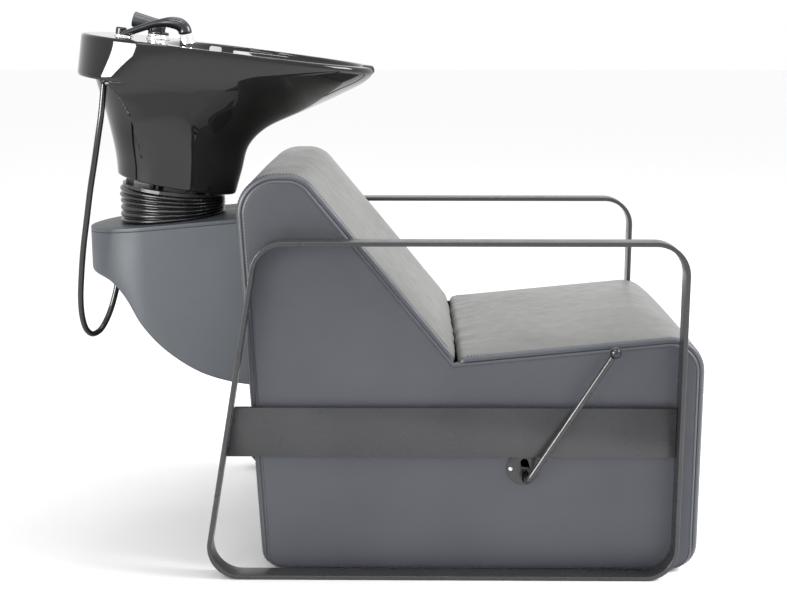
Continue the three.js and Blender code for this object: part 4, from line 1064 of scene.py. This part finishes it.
def bellows():
    """Folded rubber sleeve: tall behind, squeezed in front, with soft ridges and tight valleys."""
    folds = 6
    per_fold = 12
    sides = 112
    radius, depth, wall = 0.1035, 0.0068, 0.0025
    plate_z = BASIN_REAR_Z - tan(BASIN_LEAN) * (PIVOT_X - BASIN_REAR_X) - 0.2893 / cos(BASIN_LEAN)

    def ring(t, inner):
        made = []
        fold = abs(sin(pi * folds * t)) ** 0.55
        for angle in whole_turn(sides):
            wobble = 0.0022 * noise.noise((cos(angle) * 1.4, sin(angle) * 1.4, t * 3.2))
            r = radius - depth * (1 - fold) + wobble * fold - (wall if inner else 0)
            x = PIVOT_X + r * cos(angle)
            low = pod_top(x) + 0.0004
            high = plate_z - tan(BASIN_LEAN) * (x - PIVOT_X)
            sag = 0.0026 * sin(pi * t) * noise.noise((cos(angle) * 1.1, sin(angle) * 1.1, 7 + t * 2.5))
            made.append(Vector((x, r * sin(angle), lerp(low, high, t) + sag)))
        return made

    steps = folds * per_fold
    up = [ring(i / steps, False) for i in range(steps + 1)]
    down = [ring(1 - i / steps, True) for i in range(steps + 1)]
    sleeve = new_object("bellows_sleeve", *loft(up + down, along=True))
    settle(sleeve, bellows_rubber, None, "black_rubber", "bellows")
    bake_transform(sleeve)


pod_shell()
pod_lid()
bellows()

# ---- basin ---------------------------------------------------------------------------------------

APRON = -0.077
DECK_REAR = 0.013
APRON_HALF = 0.235
BOWL_DEPTH = 0.198
CERAMIC = 0.012
DRAIN_X = 0.245
DECK_POWER, BODY_POWER, BOWL_POWER = 2.9, 2.3, 2.6  # how square the plan outlines are
OUTER_TAPER, BOWL_TAPER = 0.14, 0.2  # how much they narrow towards the front
RIM_RISE = 0.006  # the rim's crown above its two edges
SKIRT_JOIN = -0.262
DRAIN_RADIUS = 0.028


def profile(points):
    return through([(u * MM, z * MM) for u, z in points], 10)


under_front = profile([
    (324, -300), (334, -236), (343, -185), (372, -147), (446, -101), (518, -58), (564, -27),
    (577, -10), (574, 0),
])
under_rear = profile([(98, -300), (88, -232), (71, -175), (52, -125), (39, -92), (34, -77)])
outer_width = profile([
    (106, -300), (113, -262), (127, -215), (150, -160), (185, -105), (215, -62), (232, -25), (236, 0),
])
bowl_front = profile([
    (288, -198), (310, -188), (345, -158), (400, -118), (470, -76), (528, -34), (548, -8), (556, 2),
])
bowl_rear = profile([(206, -198), (199, -185), (192, -150), (184, -90), (178, -30), (174, 2)])
bowl_width = profile([
    (66, -198), (94, -186), (122, -158), (160, -105), (192, -55), (212, -14), (220, 2),
])
crease = profile([
    (86, -77), (96, -86), (115, -104), (129, -136), (145, -184), (154, -213), (162, -245),
])


def ring_point(angle, rear, front, half, taper, power):
    along = copysign(abs(cos(angle)) ** (2 / power), cos(angle))
    across = copysign(abs(sin(angle)) ** (2 / power), sin(angle))
    middle = (rear + front) / 2
    return Vector((middle + (front - rear) / 2 * along, half * across * (1 - taper * along)))


def notch(angle):
    """How far the rim dips at an angle: the neck rest in front, with a rounded ear on each side."""
    if cos(angle) < 0:
        return 0
    y = 0.236 * abs(sin(angle)) ** (2 / DECK_POWER) * 0.9
    return 0.046 * (1 - smoothstep(0.012, 0.088, y))


def skirt_low(x):
    return SKIRT_JOIN - (x - 0.092) * 0.0717


def outer_point(angle, z, apron, wall=0):
    """Point of the outer wall at a height.

    The flank runs unbroken from the apron down to the skirt. Behind the crease the wall steps in to
    a narrower body, so that the flank ends in a lip there.
    """
    front = value_at(under_front, z) - wall
    half = value_at(outer_width, z) - wall
    upright = smoothstep(0.1, -0.75, cos(angle)) * smoothstep(-0.155, APRON, z)
    flank_half = lerp(half, APRON_HALF, upright)
    ahead = smoothstep(-0.2, 0.9, cos(angle))
    down = smoothstep(APRON, -0.225, z)
    front_power = lerp(DECK_POWER, BODY_POWER, smoothstep(-0.004, -0.120, z))
    body_rear = value_at(under_rear, z)
    flank_power = lerp(lerp(DECK_POWER, BODY_POWER, down), front_power, ahead)
    flank_rear = lerp(DECK_REAR, body_rear, down) + wall
    flank = ring_point(angle, flank_rear, front, flank_half, OUTER_TAPER, flank_power)
    if apron:
        return flank
    body_power = lerp(BODY_POWER, front_power, ahead)
    body = ring_point(angle, body_rear + wall, front, half, OUTER_TAPER, body_power)
    if wall:
        return body
    body.y *= 1 - 0.12 * smoothstep(-0.235, -0.140, z)
    edge = value_at(crease, z)
    return body.lerp(flank, smoothstep(edge - 0.004, edge + 0.004, flank.x))


def retreat(angle):
    """How far the rim's front edge is bitten back at the neck rest."""
    return 0.022 * smoothstep(0, 0.046, notch(angle))


def bore(obj, top, radius, depth):
    """Cuts a round hole straight down from a point."""
    cutter = new_object("cutter", *lathe([(0, -depth), (radius, -depth), (radius, 0), (0, 0)], 48))
    cutter.data.transform(Matrix.Translation(top))
    cut = obj.modifiers.new("bore", "BOOLEAN")
    cut.operation = "DIFFERENCE"
    cut.solver = "EXACT"
    cut.object = cutter
    apply_modifiers(obj)
    bpy.data.objects.remove(cutter)


def basin():
    """One closed glazed shell: bowl, rim, flared wall, skirt and the hollow under the bowl."""
    count = 360
    angles = [2 * pi * (k + 0.5) / count for k in range(count)]
    skirt = [skirt_low(outer_point(a, SKIRT_JOIN, False).x) for a in angles]
    rim = [-notch(a) - RIM_RISE for a in angles]
    rings = []

    def bowl_point(a, z):
        return ring_point(
            a, value_at(bowl_rear, z), value_at(bowl_front, z), value_at(bowl_width, z),
            BOWL_TAPER, BOWL_POWER,
        )

    def drain(radius, z):
        rings.append([Vector((DRAIN_X + radius * cos(a), radius * sin(a), z)) for a in angles])

    def outer(a, z, apron, wall=0, rise=0):
        p = outer_point(a, z, apron, wall)
        return Vector((p.x, p.y, z + rise))

    drain(0.024, -BOWL_DEPTH - CERAMIC)
    drain(0.024, -BOWL_DEPTH - 0.003)
    drain(0.0255, -BOWL_DEPTH - 0.0008)
    drain(DRAIN_RADIUS, -BOWL_DEPTH)
    for share in (0.25, 0.5, 0.75):
        ring = []
        for a in angles:
            round_point = Vector((DRAIN_X + DRAIN_RADIUS * cos(a), DRAIN_RADIUS * sin(a)))
            mixed = round_point.lerp(bowl_point(a, -BOWL_DEPTH), share)
            ring.append(Vector((mixed.x, mixed.y, -BOWL_DEPTH + 0.0012 * share)))
        rings.append(ring)
    bowl_rows = 44
    for i in range(1, bowl_rows + 1):
        share = i / bowl_rows
        ring = []
        for a, top in zip(angles, rim):
            z = lerp(-BOWL_DEPTH + 0.002, top, share ** 0.85)
            p = bowl_point(a, z)
            ring.append(Vector((p.x - retreat(a) * share ** 3, p.y, z)))
        rings.append(ring)
    rim_inner = rings[-1]
    rim_outer = [outer(a, top, True) - Vector((retreat(a), 0, 0)) for a, top in zip(angles, rim)]
    for share in (0.012, 0.04, 0.08, 0.15, 0.25, 0.4, 0.6, 0.75, 0.85, 0.92, 0.96, 0.988):
        ring = []
        for p, q in zip(rim_inner, rim_outer):
            width = (q - p).length
            inner_edge = min(share * width / 0.010, 1)
            outer_edge = min((1 - share) * width / 0.0055, 1)
            rounding = sqrt(max(0, 1 - (1 - inner_edge) ** 2)) * sqrt(max(0, 1 - (1 - outer_edge) ** 2))
            r = p.lerp(q, share)
            ring.append(Vector((r.x, r.y, p.z + RIM_RISE * rounding)))
        rings.append(ring)
    apron_rows = 27
    for i in range(apron_rows):
        share = i / (apron_rows - 1)
        ring = []
        for a, top in zip(angles, rim):
            z = lerp(top, min(APRON, top - 0.004), share)
            p = outer_point(a, z, True)
            tuck = 0.0022 * smoothstep(0.94, 1.0, share) * smoothstep(0.1, -0.5, cos(a))
            back = retreat(a) * (1 - share) ** 2
            ring.append(Vector((p.x - back + tuck, p.y * (1 - tuck * 4), z)))
        rings.append(ring)
    body_rows = 62
    for i in range(body_rows):
        share = i / (body_rows - 1)
        ring = []
        for a, top, low in zip(angles, rim, skirt):
            start = min(APRON, top - 0.004) - 0.003
            ring.append(outer(a, lerp(start, low, share), False))
        rings.append(ring)
    lip = ((0.0012, -0.0012), (0.004, -0.002), (0.008, -0.0016), (0.0115, 0.001), (CERAMIC, 0.005))
    for wall, rise in lip:
        rings.append([outer(a, low, False, wall, rise) for a, low in zip(angles, skirt)])
    roof = -BOWL_DEPTH - CERAMIC
    for share in (0.3, 0.65, 1.0):
        heights = [lerp(low, roof, share) for low in skirt]
        rings.append([outer(a, z, False, CERAMIC) for a, z in zip(angles, heights)])
    shell = new_object("basin_shell", *loft(rings, along=True))
    bore(shell, (SPRAY.x, SPRAY.y, 0.010), 0.0168, 0.041)
    bore(shell, (MIXER.x, MIXER.y, 0.010), 0.0168, 0.074)
    smooth_by_angle(shell, 50)
    shell.data.transform(BASIN_PLACE)
    settle(shell, black_ceramic, "basin_assembly", "black_ceramic", "basin")


basin()

# ---- taps ----------------------------------------------------------------------------------------

MIXER_PIVOT = 0.025


def in_basin(obj, matrix=None):
    obj.data.transform(BASIN_PLACE @ (matrix or Matrix.Identity(4)))
    return obj


def rounded_lathe(corners, sides=48, step=radians(15)):
    """Turned solid from (radius, height, edge radius) corners, closed on itself or on the axis."""
    points = rounded([(u * MM, v * MM, r * MM) for u, v, r in corners], step)
    if corners[0][0] == 0:
        return lathe([(max(p.x, 0), p.y) for p in points], sides)
    return lathe([(p.x, p.y) for p in points] + [(points[0].x, points[0].y)], sides)


def turned(name, corners, place, material, body, slot, *nodes, sides=48, angle=35):
    """A turned piece, placed in the basin's frame."""
    piece = new_object(name, *rounded_lathe(corners, sides))
    in_basin(piece, place)
    smooth_by_angle(piece, angle)
    settle(piece, material, body, slot, *nodes)


def mixer():
    corners = [
        (0, -20, 0), (15.5, -20, 0), (15.5, 0.3, 0), (24, 0.3, 0), (24, 3.4, 1.2),
        (21.5, 5, 1), (21.5, 9, 0.8), (0, 9, 0),
    ]
    place = Matrix.Translation(MIXER)
    turned("mixer_base", corners, place, chrome, "basin_assembly", "chrome", "mixer_body")


def mixer_head():
    corners = [(0, 9.3, 0), (20.8, 9.3, 0.4), (20.8, 12.5, 0.4), (19.5, 14.5, 0.6), (0, 14.5, 0)]
    place = Matrix.Translation(MIXER)
    turned("mixer_cap", corners, place, black_plastic, "mixer_head", "black_plastic")
    outline = rounded([
        (-0.010, 0.012, 0),
        (0.010, 0.012, 0),
        (0.009, 0.034, 0.0086),
        (-0.009, 0.034, 0.0086),
    ], radians(8))
    for side in (-1, 1):
        cheek = plate(
            "mixer_cheek_right" if side < 0 else "mixer_cheek_left", outline, [],
            lambda p: (p.x, side * 0.0146, p.y), lambda p: (p.x, side * 0.019, p.y),
        )
        in_basin(cheek, Matrix.Translation(MIXER))
        round_edges(cheek, 0.0008, 2, 40)
        settle(cheek, black_plastic, "mixer_head", "black_plastic", "mixer_swivel")


def mixer_lever():
    """Stout round lever: a ball end on the pivot, a barrel that swells and a flat end cap."""
    radius = 0.0138
    points = [(radius * sin(radians(a)), -radius * cos(radians(a))) for a in range(0, 91, 6)]
    points += [(0.0139, 0.012), (0.0142, 0.026), (0.0147, 0.040), (0.0154, 0.0495), (0.0153, 0.0512)]
    points += [(0.0146, 0.0520), (0.0130, 0.0520), (0.0125, 0.0512), (0, 0.0510)]
    lever = new_object("mixer_handle_barrel", *lathe(points, 56))
    turn = Matrix.Rotation(radians(-90 + 9), 4, "Y")
    in_basin(lever, Matrix.Translation(MIXER + Vector((0, 0, MIXER_PIVOT))) @ turn)
    smooth_by_angle(lever, 30)
    settle(lever, lever_plastic, "mixer_handle", "black_plastic", "mixer_lever")


def spray_guide():
    corners = [
        (13, -30, 0), (16, -30, 0), (16, 0.3, 0), (20, 0.3, 0), (20, 1.6, 0.6),
        (18, 2.5, 0.6), (13, 2.5, 0.5),
    ]
    place = Matrix.Translation(SPRAY)
    turned("spray_collar", corners, place, chrome, "basin_assembly", "chrome", "spray_guide")


def hand_spray():
    """Arched neck that swells into a rounded head, with the nozzle under it."""
    route = [
        (84, -24),
        (84.5, -7),
        (88, 3),
        (98, 9),
        (121, 20),
        (141, 29),
        (159, 34.5),
        (176, 37),
        (193, 35),
        (202, 27.5),
        (205, 18),
    ]
    line = through([(x * MM, SPRAY.y, z * MM) for x, z in route], 8)

    def radius_at(t):
        end = sqrt(max(0, 1 - (max(0, t - 0.965) / 0.04) ** 2))
        return (0.0058 + 0.0022 * t + 0.005 * smoothstep(0.5, 0.82, t)) * max(end, 0.5)

    body = new_object("spray_handle", *sweep(line, radius_at, 32))
    smooth_by_angle(body, 60)
    in_basin(body)
    settle(body, spray_plastic, "hand_spray", "black_plastic", "spray_body")
    corners = [
        (0, -1, 0), (12.2, -1, 0.8), (13, -5, 1), (15.2, -19, 1.2), (13.8, -21, 0.6), (0, -20, 0),
    ]
    end_x, end_z = route[-1]
    place = Matrix.Translation((end_x * MM, SPRAY.y, end_z * MM))
    place @= Matrix.Rotation(radians(-18), 4, "Y")
    turned("spray_rose", corners, place, chrome, "hand_spray", "chrome", "spray_nozzle")


def hole_cover():
    """Black cap over the spare tap hole."""
    corners = [(0, 0.3, 0), (11, 0.3, 0), (11, 11.5, 1.5), (9, 14, 1.5), (0, 14, 0)]
    place = Matrix.Translation(HOLE_COVER)
    turned(
        "tap_hole_cap", corners, place, black_plastic, "basin_assembly", "black_plastic", "hole_cover",
    )


def drain_flange():
    corners = [
        (20, -20, 0), (23.4, -20, 0), (23.4, 0.3, 0), (31, 0.3, 0), (30.5, 1.6, 0.8),
        (24, 3, 1), (20, 1.5, 0.8),
    ]
    place = Matrix.Translation((DRAIN_X, 0, -BOWL_DEPTH))
    turned("drain_ring", corners, place, chrome, "basin_assembly", "chrome", "waste_flange")


def hose_collar():
    corners = [(0, 0, 0), (7.2, 0, 0), (8.4, 1.4, 0.8), (8.4, 3.7, 0.4), (0, 3.7, 0)]
    place = Matrix.Translation((0.083, -0.167, -0.0845))
    turned(
        "hose_grommet", corners, place, matte_rubber, "basin_assembly", "black_rubber", "hose_outlet",
        sides=40, angle=40,
    )


mixer()
mixer_head()
mixer_lever()
spray_guide()
hand_spray()
hole_cover()
drain_flange()
hose_collar()

# ---- release lever -------------------------------------------------------------------------------


def lever_rod():
    """Bent round rod: foot through the slot, tight elbow and straight arm."""
    arm = Vector((LEVER_KNOB.x - LEVER_FOOT.x, 0, LEVER_KNOB.y - LEVER_FOOT.y))
    length = arm.length - KNOB_RADIUS
    arm.normalize()
    corner = Vector((LEVER_FOOT.x, LEVER_Y, LEVER_FOOT.y))
    bend = 0.015
    start = corner + Vector((0, bend, 0))
    finish = corner + arm * bend
    line = [Vector((LEVER_FOOT.x, -0.2623, LEVER_FOOT.y)).lerp(start, k / 6) for k in range(7)]
    for k in range(1, 13):
        t = k / 12
        line.append(start * (1 - t) ** 2 + corner * (2 * t * (1 - t)) + finish * t ** 2)
    line += [finish.lerp(corner + arm * length, k / 20) for k in range(1, 21)]
    rod = new_object("lever_arm", *sweep(line, lambda t: LEVER_RADIUS, 28))
    settle(rod, black_steel, "release_lever", "black_steel", "lever_rod")
    smooth_by_angle(rod, 50)
    turn = arm.to_track_quat("Z", "Y").to_matrix().to_4x4()
    angles = [radians(a) for a in range(-72, 91, 6)]
    points = [(KNOB_RADIUS * cos(a), KNOB_RADIUS * sin(a)) for a in angles]
    points = [(0, points[0][1]), *points[:-1], (0, KNOB_RADIUS)]
    knob = new_object("lever_ball", *lathe(points, 48))
    knob.data.transform(Matrix.Translation((LEVER_KNOB.x, LEVER_Y, LEVER_KNOB.y)) @ turn)
    smooth_by_angle(knob, 50)
    settle(knob, black_plastic, "release_lever", "black_plastic", "lever_knob")


def escutcheon():
    holes = [lever_slot(LEVER_RADIUS + 0.0015)]
    face = plate(
        "escutcheon_plate", circle(*ESCUTCHEON, ESCUTCHEON_RADIUS, 72), holes,
        lambda p: (p.x, -0.2988, p.y), lambda p: (p.x, -0.2963, p.y),
    )
    round_edges(face, 0.0007, 2, 40)
    settle(face, black_steel, "lounge", "black_steel", "lever_escutcheon")
    for name, side in (("rear", -1), ("front", 1)):
        corners = [(0, 0, 0), (3.9, 0, 0), (3.6, 0.7, 0.4), (2.4, 1.2, 0.5), (0, 1.4, 0)]
        screw = new_object(f"escutcheon_screw_head_{name}", *rounded_lathe(corners, 24))
        place = Matrix.Translation((ESCUTCHEON[0] + side * 0.023, -0.2988, ESCUTCHEON[1]))
        screw.data.transform(place @ Matrix.Rotation(radians(90), 4, "X"))
        smooth_by_angle(screw, 40)
        settle(screw, zinc_steel, "lounge", "zinc_steel", f"escutcheon_screw_{name}")


lever_rod()
escutcheon()

# ---- stage ---------------------------------------------------------------------------------------


def make_floor():
    size = 30
    corners = [(-size, -size, 0), (size, -size, 0), (size, size, 0), (-size, size, 0)]
    floor = new_object("floor", corners, [(0, 1, 2, 3)])
    material = new_material("studio_floor", (0.96, 0.96, 0.96), 0.6)
    vary_roughness(material, pattern(material, 3, detail=2), 0.55, 0.65)
    floor.data.materials.append(material)


def area_light(name, place, target, size, height, power, seen_only=False):
    """A softbox. One that is seen only in reflections adds no light to matte surfaces."""
    data = bpy.data.lights.new(name, "AREA")
    data.shape = "RECTANGLE"
    data.size = size
    data.size_y = height
    data.energy = power
    light = bpy.data.objects.new(name, data)
    bpy.context.scene.collection.objects.link(light)
    light.location = place
    light.rotation_mode = "QUATERNION"
    light.rotation_quaternion = (Vector(target) - Vector(place)).to_track_quat("-Z", "Y")
    light.visible_diffuse = not seen_only


def light_studio():
    world = bpy.data.worlds.new("studio")
    bpy.context.scene.world = world
    world.use_nodes = True
    world.node_tree.nodes["Background"].inputs["Color"].default_value = (1, 1, 1, 1)
    world.node_tree.nodes["Background"].inputs["Strength"].default_value = 1.0
    area_light("front_key", (3.1, -0.5, 2.3), (0, 0, 0.5), 1.8, 1.6, 150)
    area_light("overhead", (0.1, 0.3, 3.2), (0, 0, 0.5), 2.2, 1.4, 30)
    area_light("side_fill", (-1.4, -3.4, 2.4), (0, 0, 0.5), 1.4, 1.0, 18)
    area_light("window", (-2.5, -2.3, 1.15), (-0.45, -0.2, 0.95), 1.5, 1.3, 190, seen_only=True)
    area_light("ceiling_strip", (-0.3, -1.6, 3.2), (-0.2, 0, 0.9), 2.4, 0.25, 40, seen_only=True)
    bpy.context.scene.view_settings.view_transform = "Standard"


make_floor()
light_studio()
